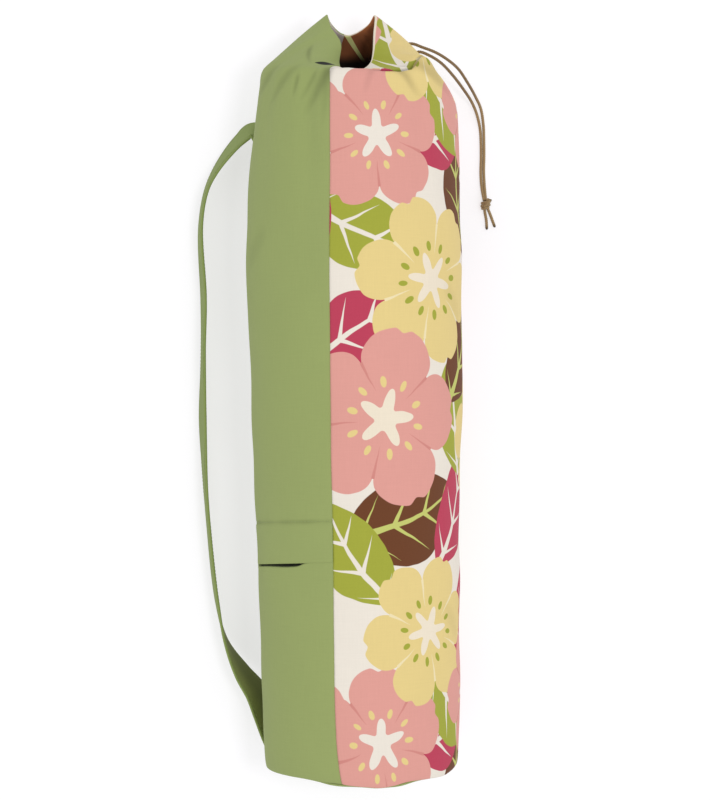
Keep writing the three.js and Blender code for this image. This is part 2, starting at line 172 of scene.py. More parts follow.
def ramp_step(tree, value, low, high, to_low, to_high):
    """Carries a value from one range to another along a straight line, and holds it at the ends."""
    node = tree.nodes.new("ShaderNodeMapRange")
    put(tree, node.inputs["Value"], value)
    for name, number in (("From Min", low), ("From Max", high), ("To Min", to_low), ("To Max", to_high)):
        put(tree, node.inputs[name], number)
    return node.outputs["Result"]


def mix_step(tree, factor, first, second):
    """The first colour where the factor is 0, the second where it is 1."""
    node = tree.nodes.new("ShaderNodeMix")
    node.data_type = "RGBA"
    put(tree, node.inputs[0], factor)
    put(tree, node.inputs[6], first)
    put(tree, node.inputs[7], second)
    return node.outputs[2]


def attribute_step(tree, name):
    """A number that the mesh holds for each of its points."""
    node = tree.nodes.new("ShaderNodeAttribute")
    node.attribute_name = name
    return node.outputs["Fac"]


def bump_step(tree, shader, height, strength, depth):
    """Tilts the surface by a height, to catch the light as a relief of that depth would."""
    lift = tree.nodes.new("ShaderNodeBump")
    lift.inputs["Strength"].default_value = strength
    lift.inputs["Distance"].default_value = depth
    put(tree, lift.inputs["Height"], height)
    put(tree, shader.inputs["Normal"], lift.outputs["Normal"])


def noise_step(tree, vector, scale, detail=2.0, output="Fac"):
    """Smooth noise, as a number or as a colour of three such numbers."""
    node = tree.nodes.new("ShaderNodeTexNoise")
    put(tree, node.inputs["Vector"], vector)
    node.inputs["Scale"].default_value = scale
    node.inputs["Detail"].default_value = detail
    return node.outputs[output]


# %% Colours and new materials
LIGHT_LEVEL = 0.81
CANVAS_ROUGHNESS = 0.95
CANVAS_SHEEN = 0.03


def colour(code, level=LIGHT_LEVEL):
    """Linear colour from a hexadecimal sRGB code, less a level, because the light is a little stronger
    than a white surface needs."""
    channels = [int(code[i:i + 2], 16) / 255 for i in (1, 3, 5)]
    linear = [c / 12.92 if c <= 0.04045 else ((c + 0.055) / 1.055) ** 2.4 for c in channels]
    return tuple(min(c * level, 1.0) for c in linear) + (1.0,)


def new_material(name, roughness, sheen):
    """An empty fabric material: its tree and its shader, rough, with a little sheen."""
    material = bpy.data.materials.new(name)
    material.use_nodes = True
    shader = material.node_tree.nodes["Principled BSDF"]
    shader.inputs["Roughness"].default_value = roughness
    shader.inputs["Sheen Weight"].default_value = sheen
    shader.inputs["Sheen Roughness"].default_value = 0.6
    shader.inputs["Specular IOR Level"].default_value = 0.25
    return material, material.node_tree, shader


print("a white cloth has the linear colour", [round(channel, 3) for channel in colour("#ffffff")])

# %% [markdown]
# Canvas is a plain weave: threads go over and under each other, about twelve to the
# centimetre, and here and there one is thicker. Two waves, one for each thread
# direction, give the weave, and noise that is stretched along the threads gives the
# slubs. Both follow the cloth's own map, in metres, so the weave bends with the cloth.

# %% Weave
THREAD = 0.85 * MM
THREAD_HEIGHT = 0.35
SLUB_WIDTH = 1.1 * MM
SLUB_LENGTH = 22 * MM
SLUB_RANGE = (0.7, 1.3)
SLUB_TONE = (-0.13, 0.11)
PATCH_SCALE = 18.0
PATCH_RANGE = (0.3, 0.7)
PATCH_TONE = (-0.06, 0.05)
WEAR = 0.16
# Strength of the painted shade in creases, grooves, the slit and the strap's under face.
HOLLOW_DARKNESS = 0.95
WEAVE_BUMP = 0.2
WEAVE_DEPTH = 0.25 * MM


def weave(tree, place):
    """Height and tone of a plain weave: the product of a sine across and a sine along the cloth,
    with the thick threads of two stretched noises."""
    apart = tree.nodes.new("ShaderNodeSeparateXYZ")
    put(tree, apart.inputs[0], place)
    turn = 2 * math.pi / THREAD
    across = math_step(tree, "SINE", math_step(tree, "MULTIPLY", apart.outputs["X"], turn))
    along = math_step(tree, "SINE", math_step(tree, "MULTIPLY", apart.outputs["Y"], turn))
    threads = math_step(tree, "MULTIPLY", across, along)
    warp = noise_step(tree, vector_step(tree, "MULTIPLY", place, (1 / SLUB_WIDTH, 1 / SLUB_LENGTH, 1)), 1.0)
    weft = noise_step(tree, vector_step(tree, "MULTIPLY", place, (1 / SLUB_LENGTH, 1 / SLUB_WIDTH, 1)), 1.0)
    slubs = math_step(tree, "ADD", warp, weft)
    height = math_step(tree, "MULTIPLY_ADD", threads, THREAD_HEIGHT, slubs)
    return height, slubs


def cloth_place(tree):
    """The cloth's own map, in metres: across in X, along in Y."""
    node = tree.nodes.new("ShaderNodeUVMap")
    node.uv_map = "cloth"
    return node.outputs["UV"]


def finish_canvas(tree, shader, base, place):
    """Multiplies the colour by the weave's tone and by broad patches, darkens it by the painted shade that
    the mesh holds for its creases, grooves, slit and strap, and adds the weave as bump."""
    height, slubs = weave(tree, place)
    painted_darkening = math_step(tree, "MULTIPLY", attribute_step(tree, "painted_shade"), HOLLOW_DARKNESS)
    unshaded_share = math_step(tree, "SUBTRACT", 1.0, painted_darkening)
    patches = noise_step(tree, place, PATCH_SCALE, 3.0)
    tone = ramp_step(tree, slubs, *SLUB_RANGE, *(1 + share * WEAR for share in SLUB_TONE))
    broad = ramp_step(tree, patches, *PATCH_RANGE, *(1 + share * WEAR for share in PATCH_TONE))
    level = math_step(tree, "MULTIPLY", math_step(tree, "MULTIPLY", tone, broad), unshaded_share)
    toned = tree.nodes.new("ShaderNodeVectorMath")
    toned.operation = "SCALE"
    put(tree, toned.inputs[0], base[:3] if isinstance(base, tuple) else base)
    put(tree, toned.inputs["Scale"], level)
    put(tree, shader.inputs["Base Color"], toned.outputs["Vector"])
    bump_step(tree, shader, height, WEAVE_BUMP, WEAVE_DEPTH)


print("threads in a centimetre:", round(10 * MM / THREAD, 1))

# %% [markdown]
# The drawstring is a waxed cotton cord of three plies, which twist round each other once
# in five and a half millimetres. Its two free strands leave the gathered mouth, drop to
# the table beside the bag and end in one knot. The points of each route are listed, and a
# smooth curve runs through them. The cord is dark where it is high and paler where it lies
# on the table: painted shade and painted light.

# %% Smooth curves
def smooth_curve(points, share):
    """Centripetal curve through all the points, at shares of their count. Each stretch is the cubic
    whose end speeds come from the square roots of the distances to its neighbours."""
    points = np.asarray(points, dtype=float)
    before = 2 * points[0] - points[1]
    after = 2 * points[-1] - points[-2]
    full = np.vstack([before, points, after])
    place = np.asarray(share, dtype=float) * (len(points) - 1)
    stretch = np.clip(place.astype(int), 0, len(points) - 2)
    t = (place - stretch)[:, None]
    p0, p1, p2, p3 = (full[stretch + k] for k in range(4))
    pairs = ((p0, p1), (p1, p2), (p2, p3))
    d0, d1, d2 = (np.sqrt(np.linalg.norm(q - p, axis=1))[:, None] for p, q in pairs)
    leave = ((p1 - p0) / d0 - (p2 - p0) / (d0 + d1) + (p2 - p1) / d1) * d1
    arrive = ((p2 - p1) / d1 - (p3 - p1) / (d1 + d2) + (p3 - p2) / d2) * d1
    rise = t * t * (3 - 2 * t)
    return p1 * (1 - rise) + p2 * rise + t * (1 - t) ** 2 * leave + t * t * (t - 1) * arrive


def even_run(points, count, fine=2000):
    """The smooth curve through the points, as count points at even distances, and its length."""
    run = smooth_curve(points, np.linspace(0, 1, fine))
    steps = np.linalg.norm(np.diff(run, axis=0), axis=1)
    travelled = np.concatenate([[0], np.cumsum(steps)])
    wanted = np.linspace(0, travelled[-1], count)
    even = np.stack([np.interp(wanted, travelled, run[:, k]) for k in range(3)], axis=1)
    return even, travelled[-1]


corner_points = [[0, 0, 0], [1, 0, 0], [1, 1, 0]]
print("a smooth curve round a corner of two metres measures", round(even_run(corner_points, 2)[1], 3), "m")

# %% Cord material
FIBRE_SCALE = 900.0
FIBRE_RANGE = (0.3, 0.7)
FIBRE_TONE = 0.5
FIBRE_BUMP = 0.5
FIBRE_DEPTH = 0.15 * MM


def cord_material():
    """Brown cotton with painted shade in the grooves between the plies and high up, painted light where
    it lies near the table, and dark at a cut end.
    """
    material, tree, shader = new_material("cord_cotton", 0.75, 0.15)
    place = tree.nodes.new("ShaderNodeTexCoord").outputs["Object"]
    fibres = noise_step(tree, place, FIBRE_SCALE, 3.0)
    shade = mix_step(tree, attribute_step(tree, "painted_cord_light"), colour("#6a5034"), colour("#b4986c"))
    toned = mix_step(tree, ramp_step(tree, fibres, *FIBRE_RANGE, 0.0, FIBRE_TONE), shade, colour("#7d6540"))
    ended = mix_step(tree, attribute_step(tree, "tip"), toned, colour("#2c2016"))
    put(tree, shader.inputs["Base Color"], ended)
    bump_step(tree, shader, fibres, FIBRE_BUMP, FIBRE_DEPTH)
    return material


cord_cotton = cord_material()
print("the cord's material has", len(cord_cotton.node_tree.nodes), "nodes")

# %% Cord tubes
CORD_DIAMETER = 2.5 * MM
CORD_FULLNESS = 1.14
PLIES = 3
PLY_PITCH = 5.5 * MM
PLY_DEPTH = 0.13
PALE_BELOW = 4 * MM
DARK_ABOVE = 22 * MM
PALE_SHARE = 0.5
HIGH_DARKNESS = 0.3
CORD_SIDES = 18
CORD_STEP = 0.5 * MM
TIP_TAPER = 1.2 * MM
TIP_SHARE = 0.35
TIP_DARK = 4 * MM
PLY_CONTRAST = 0.6
UP = np.array([0.0, 0.0, 1.0])


def cord_tube(route, tapered):
    """A twisted cord along a route. Round the centreline the radius is the cord's own, less a share
    that swings with the cosine of three times the angle, and the angle turns once in a pitch."""
    _, length = even_run(route, 2)
    count = int(length / CORD_STEP)
    centre, length = even_run(route, count)
    ahead = unit(np.gradient(centre, axis=0))
    side = unit(np.cross(ahead, UP))
    rise = np.cross(side, ahead)
    travelled = np.linspace(0, length, count)[:, None]
    angle = np.linspace(0, 2 * math.pi, CORD_SIDES, endpoint=False)[None, :]
    swing = np.cos(PLIES * (angle - 2 * math.pi * travelled / PLY_PITCH))
    end = np.clip((length - travelled) / TIP_TAPER, 0, 1) ** 0.5 if tapered else np.ones_like(travelled)
    swung = 1 - PLY_DEPTH / 2 + PLY_DEPTH / 2 * swing
    radius = CORD_DIAMETER / 2 * CORD_FULLNESS * swung * np.maximum(end, TIP_SHARE)
    ring = np.cos(angle)[..., None] * side[:, None] + np.sin(angle)[..., None] * rise[:, None]
    points = centre[:, None] + radius[..., None] * ring
    points[..., 2] = np.maximum(points[..., 2], 0.0)
    faces = grid_faces(count, CORD_SIDES, round_rows=True)
    dark = np.clip(1 - (length - travelled) / TIP_DARK, 0, 1) * tapered
    # Painted light and shade: lighter on the plies' crests, darker in their grooves and high up, paler near
    # the table.
    painted_cord_light = np.clip((swing + 1) / 2 + 0 * angle, 0, 1) ** PLY_CONTRAST
    pale = PALE_SHARE * np.clip((DARK_ABOVE - centre[:, 2:]) / (DARK_ABOVE - PALE_BELOW), 0, 1)
    painted_cord_light = (painted_cord_light * (1 - PALE_SHARE) + pale) * (1 - HIGH_DARKNESS * (PALE_SHARE - pale))
    return centre, points.reshape(-1, 3), faces, painted_cord_light.ravel(), (dark + 0 * angle).ravel(), length


def cap_faces(first, size):
    """The two round ends of a tube whose rings are stored one after the other."""
    return [list(range(size)), list(range(first, first + size))[::-1]]


def cord_piece(name, routes, tapered):
    """One mesh from one or more cord tubes, with the last one's centreline and its length."""
    points, faces, painted_cord_light, tip = [], [], [], []
    start = 0
    for route, taper in zip(routes, tapered):
        centre, ring_points, ring_faces, ring_painted_light, ring_tip, length = cord_tube(route, taper)
        ends = cap_faces(len(ring_points) - CORD_SIDES, CORD_SIDES)
        faces += [[start + corner for corner in face] for face in ring_faces.tolist() + ends]
        points.append(ring_points)
        painted_cord_light.append(ring_painted_light)
        tip.append(ring_tip)
        start += len(ring_points)
    piece = new_piece(name, np.vstack(points), faces, [cord_cotton])
    add_attribute(piece, "painted_cord_light", np.concatenate(painted_cord_light))
    add_attribute(piece, "tip", np.concatenate(tip))
    return piece, centre, length


print("a cord has", CORD_SIDES, "sides and a ring each", CORD_STEP / MM, "mm")

# %% The two strands and their knot
STRAND_A = np.array([
    [43.6, 343.2, 66], [54.6, 345.2, 67], [65, 341.8, 66], [76, 338.2, 61.6],
    [86.3, 333.4, 54], [97.4, 326, 43.5], [107.2, 314.6, 29], [115.2, 303.4, 14.5],
    [120.5, 293.5, 5], [122.8, 279, 1.6], [123.1, 265, 1.6], [123.0, 250, 1.6],
    [122.5, 236, 1.6], [122.8, 225, 1.8], [123.2, 217.5, 2.8], [123.8, 208, 4.6],
]) * MM
STRAND_B = np.array([
    [51.6, 335.4, 63.6], [61.8, 338, 64.8], [70.6, 335.1, 63], [81.4, 329.4, 56],
    [92.2, 320.4, 43.5], [103.2, 308.9, 28], [112, 298, 13.5], [116.8, 288, 4.8],
    [119.7, 275, 1.6], [120.3, 262, 1.6], [120.2, 248, 1.6], [119.7, 235, 1.6],
    [120.0, 225, 1.8], [120.7, 217.5, 2.8], [122.2, 208, 4.6],
]) * MM
KNOT_STUB = np.array([
    [121.6, 202.4, 6.8], [124.4, 205.2, 8.4], [127.2, 207.4, 6.6], [128.8, 208.6, 4.4],
]) * MM
TAIL_A = np.array([[122.8, 203, 3.6], [122.9, 198, 2.0], [124.2, 190, 1.4], [124.6, 181, 1.4]]) * MM
TAIL_B = np.array([[124.2, 203, 3.6], [126.6, 198.5, 2.0], [129.6, 190.5, 1.4], [132.2, 183, 1.4]]) * MM
KNOT_CENTRE = np.array([123.6, 204.4, 4.4]) * MM
KNOT_TURNS = 3.25
KNOT_REACH = 4.0 * MM
KNOT_HALF_WIDTH = 3.6 * MM
KNOT_HALF_HEIGHT = 3.0 * MM
KNOT_END_SHARE = 0.68
KNOT_TILT = 0.35

share = np.linspace(0, 1, 48)
turned = 2 * math.pi * KNOT_TURNS * share
fullness = KNOT_END_SHARE + (1 - KNOT_END_SHARE) * np.sin(math.pi * share)
wraps = KNOT_CENTRE + np.stack([
    KNOT_HALF_WIDTH * fullness * np.sin(turned),
    KNOT_REACH * (1 - 2 * share) + KNOT_TILT * KNOT_HALF_WIDTH * fullness * np.sin(turned),
    KNOT_HALF_HEIGHT * fullness * np.cos(turned),
], axis=1)

strand_a, path_a, length_a = cord_piece("drawstring_cord_a", [STRAND_A], [0.0])
strand_b, path_b, length_b = cord_piece("drawstring_cord_b", [STRAND_B], [0.0])
knot, _, _ = cord_piece("drawstring_knot_tied", [wraps, KNOT_STUB, TAIL_A, TAIL_B], [0.0, 1.0, 1.0, 1.0])
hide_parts("drawstring_strand_a")
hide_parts("drawstring_strand_b")
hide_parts("drawstring_knot")
print("strand lengths:", round(length_a, 4), round(length_b, 4), "m")

# %% [markdown]
# The tube's shape is held in short tables: its radius along its length, the shoulder
# where it turns in to the collar, and the rim of the mouth with its two peaks. Angles
# run round the tube, with 0 at the top, +90 at the right and 180 underneath. A smooth
# curve through each column gives the value at any angle.

# %% Tables
BODY_LENGTH = 612 * MM
BODY_RADIUS = 96 * MM
REST_FLAT = 3 * MM
CLOTH = 2 * MM
BASE_CLOTH = 3 * MM
SEAM_GAP = 0.35 * MM
COLLAR_RISE = 62 * MM
MOUTH_WIDTH = 44.6 * MM
MOUTH_DEPTH = 77 * MM
TUCK_DEPTH = 4 * MM
FRONT_SEAM = -12.8
BACK_SEAM = -166.0
FULL_TURN = 360.0
BODY_MIDDLE = BODY_LENGTH / 2
WALL_FOOT = BASE_CLOTH + SEAM_GAP


def table(names, rows):
    """A table as one array for each named column."""
    return dict(zip(names.split(), np.array(rows, dtype=float).T))


TUBE_PROFILE = table("along radius", [
    [0.0, 0.885], [0.012, 0.899], [0.04, 0.908], [0.123, 0.927], [0.19, 0.926],
    [0.3, 0.938], [0.392, 0.95], [0.51, 0.978], [0.62, 0.988], [0.74, 0.999],
    [0.8, 0.992], [0.86, 0.977], [0.92, 0.97], [0.97, 0.946], [1.0, 0.93],
])
SHOULDER = table("angle radius along bulge", [
    [-166, 0.917, 0.98, 0.13], [-125, 0.917, 0.99, 0.08], [-90, 0.853, 1.018, 0.02],
    [-50, 0.896, 1.01, 0.05], [0, 0.927, 1.002, 0.0], [37, 0.927, 1.006, 0.0],
    [46, 0.937, 1.027, 0.0], [60, 0.927, 1.005, 0.05], [75, 0.948, 0.982, 0.08],
    [90, 0.975, 0.968, 0.09], [130, 0.958, 0.977, 0.09],
])
RIM = table("angle side height rise", [
    [-166, -0.14, -0.23, 0.78], [-140, -0.26, -0.17, 0.81], [-115, -0.42, -0.1, 0.92],
    [-90, -0.493, -0.026, 1.02], [-65, -0.405, 0.156, 0.8], [-40, -0.205, 0.286, 0.54],
    [-12.8, -0.213, 0.494, 0.17], [10, 0.157, 0.545, 0.11], [30, 0.37, 0.468, 0.22],
    [50, 0.437, 0.364, 0.42], [72, 0.471, 0.156, 0.71], [90, 0.509, -0.026, 1.0],
    [115, 0.381, -0.12, 0.9], [145, 0.179, -0.2, 0.815], [168, 0.0, -0.25, 0.775],
])
TUCKS = table("angle depth spread", [
    [-24, 1.0, 6], [-58, 0.5, 8], [40, 0.6, 6], [118, 0.7, 9], [152, 0.7, 9], [-142, 0.7, 9],
])


# %% Reading a table
def read_table(rows, column, at, period=0.0):
    """Smooth value of a column at places along the table's first column. Between two rows it is the
    cubic whose slope at each row is the slope from the row before to the row after."""
    keys = next(iter(rows.values()))
    values = rows[column]
    at = np.asarray(at, dtype=float)
    if period:
        at = keys[0] + np.mod(at - keys[0], period)
        keys = np.concatenate([keys[-2:] - period, keys, keys[:2] + period])
        values = np.concatenate([values[-2:], values, values[:2]])
    at = np.clip(at, keys[0], keys[-1])
    right = np.clip(np.searchsorted(keys, at, side="right"), 1, len(keys) - 1)
    left = right - 1
    row = np.arange(len(keys))
    low = np.maximum(row - 1, 0)
    high = np.minimum(row + 1, len(keys) - 1)
    slope = (values[high] - values[low]) / (keys[high] - keys[low])
    span = keys[right] - keys[left]
    t = (at - keys[left]) / span
    rise = t * t * (3 - 2 * t)
    leave = t * (1 - t) ** 2 * span * slope[left]
    arrive = t * t * (t - 1) * span * slope[right]
    return values[left] * (1 - rise) + values[right] * rise + leave + arrive


def ease(share):
    """Goes from 0 to 1 as the share does, level at both ends: three squares less two cubes."""
    share = np.clip(share, 0, 1)
    return share * share * (3 - 2 * share)


def tube_radius(along):
    """The tube's radius at a distance from its foot."""
    return BODY_RADIUS * read_table(TUBE_PROFILE, "radius", np.asarray(along) / BODY_LENGTH)


def axis_height(along):
    """Height of the tube's axis: its radius, less the little by which the cloth lies flat."""
    return tube_radius(along) - REST_FLAT


print("radius at the foot and at the middle:", np.round(tube_radius([0.0, BODY_MIDDLE]) / MM, 1), "mm")

# %% The cloth's surface
TUCK_REACH = 0.16
SHOULDER_BLEND = 0.2


def turn_from(angle, centre):
    """Angle from a centre, the short way round."""
    return np.mod(angle - centre + FULL_TURN / 2, FULL_TURN) - FULL_TURN / 2


def tuck_depth(angle, station):
    """Sum of one bell curve round the tube and one along it for each tuck."""
    depth = np.zeros(np.broadcast(angle, station).shape)
    for centre, share, spread in zip(*TUCKS.values()):
        across = np.exp(-((turn_from(angle, centre) / spread) ** 2))
        depth += TUCK_DEPTH * share * across * np.exp(-(((station - 1) / TUCK_REACH) ** 2))
    return depth


def shoulder_along(angle):
    """Where the tube's wall ends and the collar begins."""
    return BODY_LENGTH * read_table(SHOULDER, "along", angle, FULL_TURN)


def cloth_surface(angle, station, inset=0.0):
    """Point of the cloth's outer face. Up to station 1 it is on a circle round the axis whose radius
    comes from the tube's table; from 1 to 2 it is on a straight line from the shoulder to the rim,
    swollen by a half sine."""
    turn = np.radians(angle)
    top = shoulder_along(angle)
    edge = BODY_RADIUS * read_table(SHOULDER, "radius", angle, FULL_TURN)
    pull = inset + tuck_depth(angle, station)
    wall = np.minimum(station, 1.0)
    along = WALL_FOOT + (top - WALL_FOOT) * wall
    blend = ease((wall - 1 + SHOULDER_BLEND) / SHOULDER_BLEND)
    radius = tube_radius(along) + (edge - tube_radius(top)) * blend - pull
    start = np.stack([radius * np.sin(turn), along, axis_height(along) + radius * np.cos(turn)], axis=-1)
    share = np.clip(station - 1, 0, 1)
    swell = COLLAR_RISE * read_table(SHOULDER, "bulge", angle, FULL_TURN) * np.sin(math.pi * share)
    end = np.stack([
        MOUTH_WIDTH * read_table(RIM, "side", angle, FULL_TURN),
        BODY_LENGTH + COLLAR_RISE * read_table(RIM, "rise", angle, FULL_TURN),
        axis_height(BODY_LENGTH) + MOUTH_DEPTH * read_table(RIM, "height", angle, FULL_TURN),
    ], axis=-1)
    swelling = np.stack([swell * np.sin(turn) / 2, swell, swell * np.cos(turn) / 2], axis=-1)
    point = start + (end - start) * share[..., None] + swelling
    point[..., 1] -= BODY_MIDDLE
    point[..., 2] = np.maximum(point[..., 2], inset)
    return point


peaks = cloth_surface(np.array([-90.0, 90.0]), np.array([2.0, 2.0]))
print("the rim's two sides reach", np.round(peaks / MM, 1).tolist(), "mm")

# %% [markdown]
# The cloth at the tube's foot is slack, and hangs lowest on the front right. A table gives
# the drop at each angle, and the drop fades away within a few centimetres up the tube.

# %% The foot's sag
FOOT = table("angle drop", [
    [-166, 0], [-90, 0], [-40, 0.3], [-22, 2.2], [-16, 2.6], [-7.5, 4.6], [2, 6.0], [9.6, 7.0],
    [18, 5.8], [25, 3.9], [30, 3.2], [45, 3.4], [56, 3.8], [65, 2.2], [88, -1.5], [120, -0.5], [160, 0],
])
FOOT_REACH = 42 * MM


def foot_drop(angle, along):
    """How far the cloth hangs past the foot of the tube, which it does most on the front right."""
    drop = MM * read_table(FOOT, "drop", angle, FULL_TURN)
    return drop * ease(1 - along / FOOT_REACH)


print("the foot hangs at most", FOOT["drop"].max(), "mm low")

# %% [markdown]
# Filled cloth is never quite smooth. Long soft waves run down the tube, the drawstring
# gathers the collar into pleats, a few creases start at the tucks, and each seam lies in
# a small valley with puckers beside it. Each of these is a formula in the angle and the
# distance along the cloth, and their sum moves the surface in or out.

# %% Folds of the cloth
CREASES = table("from_angle from_along to_angle to_along depth width", [
    [-15, 0.611, -31, 0.566, 1.3, 5.5], [-24, 0.607, -33, 0.580, 0.9, 3.0],
    [-14, 0.606, -18, 0.545, 0.8, 5.0], [-40, 0.612, -62, 0.578, 1.0, 6.0],
    [-60, 0.616, -84, 0.590, 1.0, 7.0], [30, 0.612, 47, 0.582, 1.2, 5.0],
    [40, 0.622, 64, 0.598, 1.3, 5.0], [10, 0.610, 4, 0.580, 0.7, 5.0],
    [55, 0.615, 80, 0.585, 0.9, 6.0], [118, 0.600, 112, 0.560, 1.2, 7.0],
    [150, 0.600, 158, 0.558, 1.2, 7.0], [-142, 0.600, -136, 0.556, 1.2, 7.0],
    [-12.8, 0.300, -30, 0.270, 0.35, 9.0], [60, 0.420, 82, 0.380, 0.6, 14.0],
    [62, 0.140, 84, 0.100, 0.6, 12.0], [-60, 0.470, -86, 0.430, 0.6, 14.0],
    [-46, 0.646, -25, 0.624, 1.4, 2.6], [-33, 0.606, -36, 0.586, 1.2, 2.6],
])
WAVES = table("round along phase height", [
    [3, 5.1, 0.4, 0.45], [5, -8.3, 1.9, 0.35], [8, 13.0, 4.1, 0.22], [2, 17.0, 2.6, 0.28],
])
WAVE_FOOT = 60 * MM
WAVE_TOP = 1.05
WAVE_FADE = 0.1
BANK_HEIGHT = 0.45
BANK_WIDTH = 2.1
CREASE_START = 3.0
CREASE_END = 1.15
PLEATS = 17
PLEAT_HEIGHT = 0.5 * MM
PLEAT_DRIFTS = ((2.1, 3, 0.0), (1.3, 7, 0.8))
PLEAT_START = 0.95
PLEAT_RISE = 0.3
PLEAT_END = 2.1
PLEAT_FALL = 0.5
SEAM_VALLEY = 0.45 * MM
SEAM_SPREAD = 2.0 * MM
PUCKER_PITCH = 13 * MM
PUCKER_HEIGHT = 0.12 * MM
PUCKER_SPREAD = 9 * MM
PUCKER_DRIFT = 1.7
PUCKER_DRIFT_LENGTH = 31 * MM
PUCKER_END = 1.02
LIP_ANGLE = 38.0
LIP_SPREAD = 30.0
LIP_FADE = 12.0
LIP_STATION = 1.045
LIP_WIDTH = 0.035
LIP_DEPTH = 2.4 * MM


def lip_share(angle):
    """1 where the front of the wall laps over the collar, 0 at the sides and the back."""
    return ease((LIP_SPREAD - np.abs(turn_from(angle, LIP_ANGLE))) / LIP_FADE)


def arc_from(angle, centre):
    """Distance round the tube from an angle, at the tube's named radius."""
    return turn_from(angle, centre) * math.radians(1) * BODY_RADIUS


def cloth_relief(angle, along, station):
    """Height of the folds, and the depth of the sharp ones. Waves are sines of angle and distance. A
    crease is a bell shaped valley along a line, with low banks beside it, and so is the valley behind
    the front lip. Pleats grow towards the rim, and each seam has a valley with ripples."""
    turn = np.radians(angle)
    height = np.zeros(np.broadcast(angle, along).shape)
    sharp = np.zeros(height.shape)
    for around, lengthwise, phase, size in zip(*WAVES.values()):
        height += size * MM * np.sin(around * turn + lengthwise * along / BODY_LENGTH * math.pi + phase)
    height *= ease((WAVE_TOP - station) / WAVE_FADE) * ease(along / WAVE_FOOT)
    for a0, y0, a1, y1, depth, width in zip(*CREASES.values()):
        x = arc_from(angle, a0)
        y = along - y0
        dx = arc_from(a1, a0)
        dy = y1 - y0
        share = (x * dx + y * dy) / (dx * dx + dy * dy)
        off = (x * dy - y * dx) / math.hypot(dx, dy)
        fade = np.exp(-np.maximum(0, -share * CREASE_START) ** 2) * ease(CREASE_END - np.maximum(share, 0))
        bell = np.exp(-((off / (width * MM)) ** 2))
        banks = BANK_HEIGHT * np.exp(-((off / (BANK_WIDTH * width * MM)) ** 2))
        height -= depth * MM * fade * (bell - banks)
        sharp += depth * MM * fade * bell
    valley = LIP_DEPTH * lip_share(angle) * np.exp(-(((station - LIP_STATION) / LIP_WIDTH) ** 2))
    height -= valley
    sharp += valley
    drift = sum(size * np.sin(times * turn + phase) for size, times, phase in PLEAT_DRIFTS)
    in_collar = ease((station - PLEAT_START) / PLEAT_RISE) * ease((PLEAT_END - station) / PLEAT_FALL)
    height += PLEAT_HEIGHT * np.cos(PLEATS * turn + drift) * in_collar
    wander = PUCKER_DRIFT * np.sin(along / PUCKER_DRIFT_LENGTH)
    ripple = np.sin(2 * math.pi * along / PUCKER_PITCH + wander) * ease(PUCKER_END - station)
    for seam in (FRONT_SEAM, BACK_SEAM):
        off = arc_from(angle, seam)
        height -= SEAM_VALLEY * np.exp(-((off / SEAM_SPREAD) ** 2))
        height += PUCKER_HEIGHT * ripple * np.exp(-((off / PUCKER_SPREAD) ** 2))
    return height, sharp


print("folds:", len(WAVES["height"]), "waves,", len(CREASES["depth"]), "creases and", PLEATS, "pleats")

# %% [markdown]
# A sheet of cloth has two faces and an edge. From the outer face we step inwards along
# its normals to get the inner face, and close the gap with a half round edge at the foot
# and at the rim. Each column of points is then one closed loop, so the whole shell is a
# single grid, and only its two side edges need a strip of their own.

# %% Normals and edges
EDGE_STEPS = 3
SOFTENING = 0.5


def outward_normals(points):
    """Cross product of the step between columns and the step between rows."""
    return unit(np.cross(np.gradient(points, axis=0), np.gradient(points, axis=1)))


def soften_rows(points, weights, passes):
    """Moves each row towards the middle of its two neighbours, by its weight, several times over."""
    for _ in range(passes):
        middle = (points[:, :-2] + points[:, 2:]) / 2
        points[:, 1:-1] += weights[:, 1:-1, None] * (middle - points[:, 1:-1]) * SOFTENING
    return points


def rounded_edge(middle, normals, onward):
    """Points of a half circle from the outer to the inner face round one end of the cloth."""
    bend = np.linspace(0, math.pi, EDGE_STEPS + 2)[1:-1, None, None]
    arc = middle + CLOTH / 2 * (np.cos(bend) * normals + np.sin(bend) * onward)
    return arc.transpose(1, 0, 2)


print("the edge of the cloth turns in", EDGE_STEPS + 1, "steps")

# %% A closed shell
COLLAR_SHIFT = np.array([78, -40]) * MM
COLLAR_FOLD = 16.0


def lay_collar_flat(piece, faces, chosen, points):
    """Starts the map again on the chosen faces, with each point's place on the table."""
    corners = (np.flatnonzero(chosen)[:, None] * 4 + np.arange(4)).ravel()
    layer = piece.data.uv_layers["cloth"].uv
    places = np.empty(2 * len(layer), dtype=np.float32)
    layer.foreach_get("vector", places)
    places = places.reshape(-1, 2)
    places[corners] = points[faces[chosen].ravel()][:, :2] + COLLAR_SHIFT
    layer.foreach_set("vector", places.ravel())


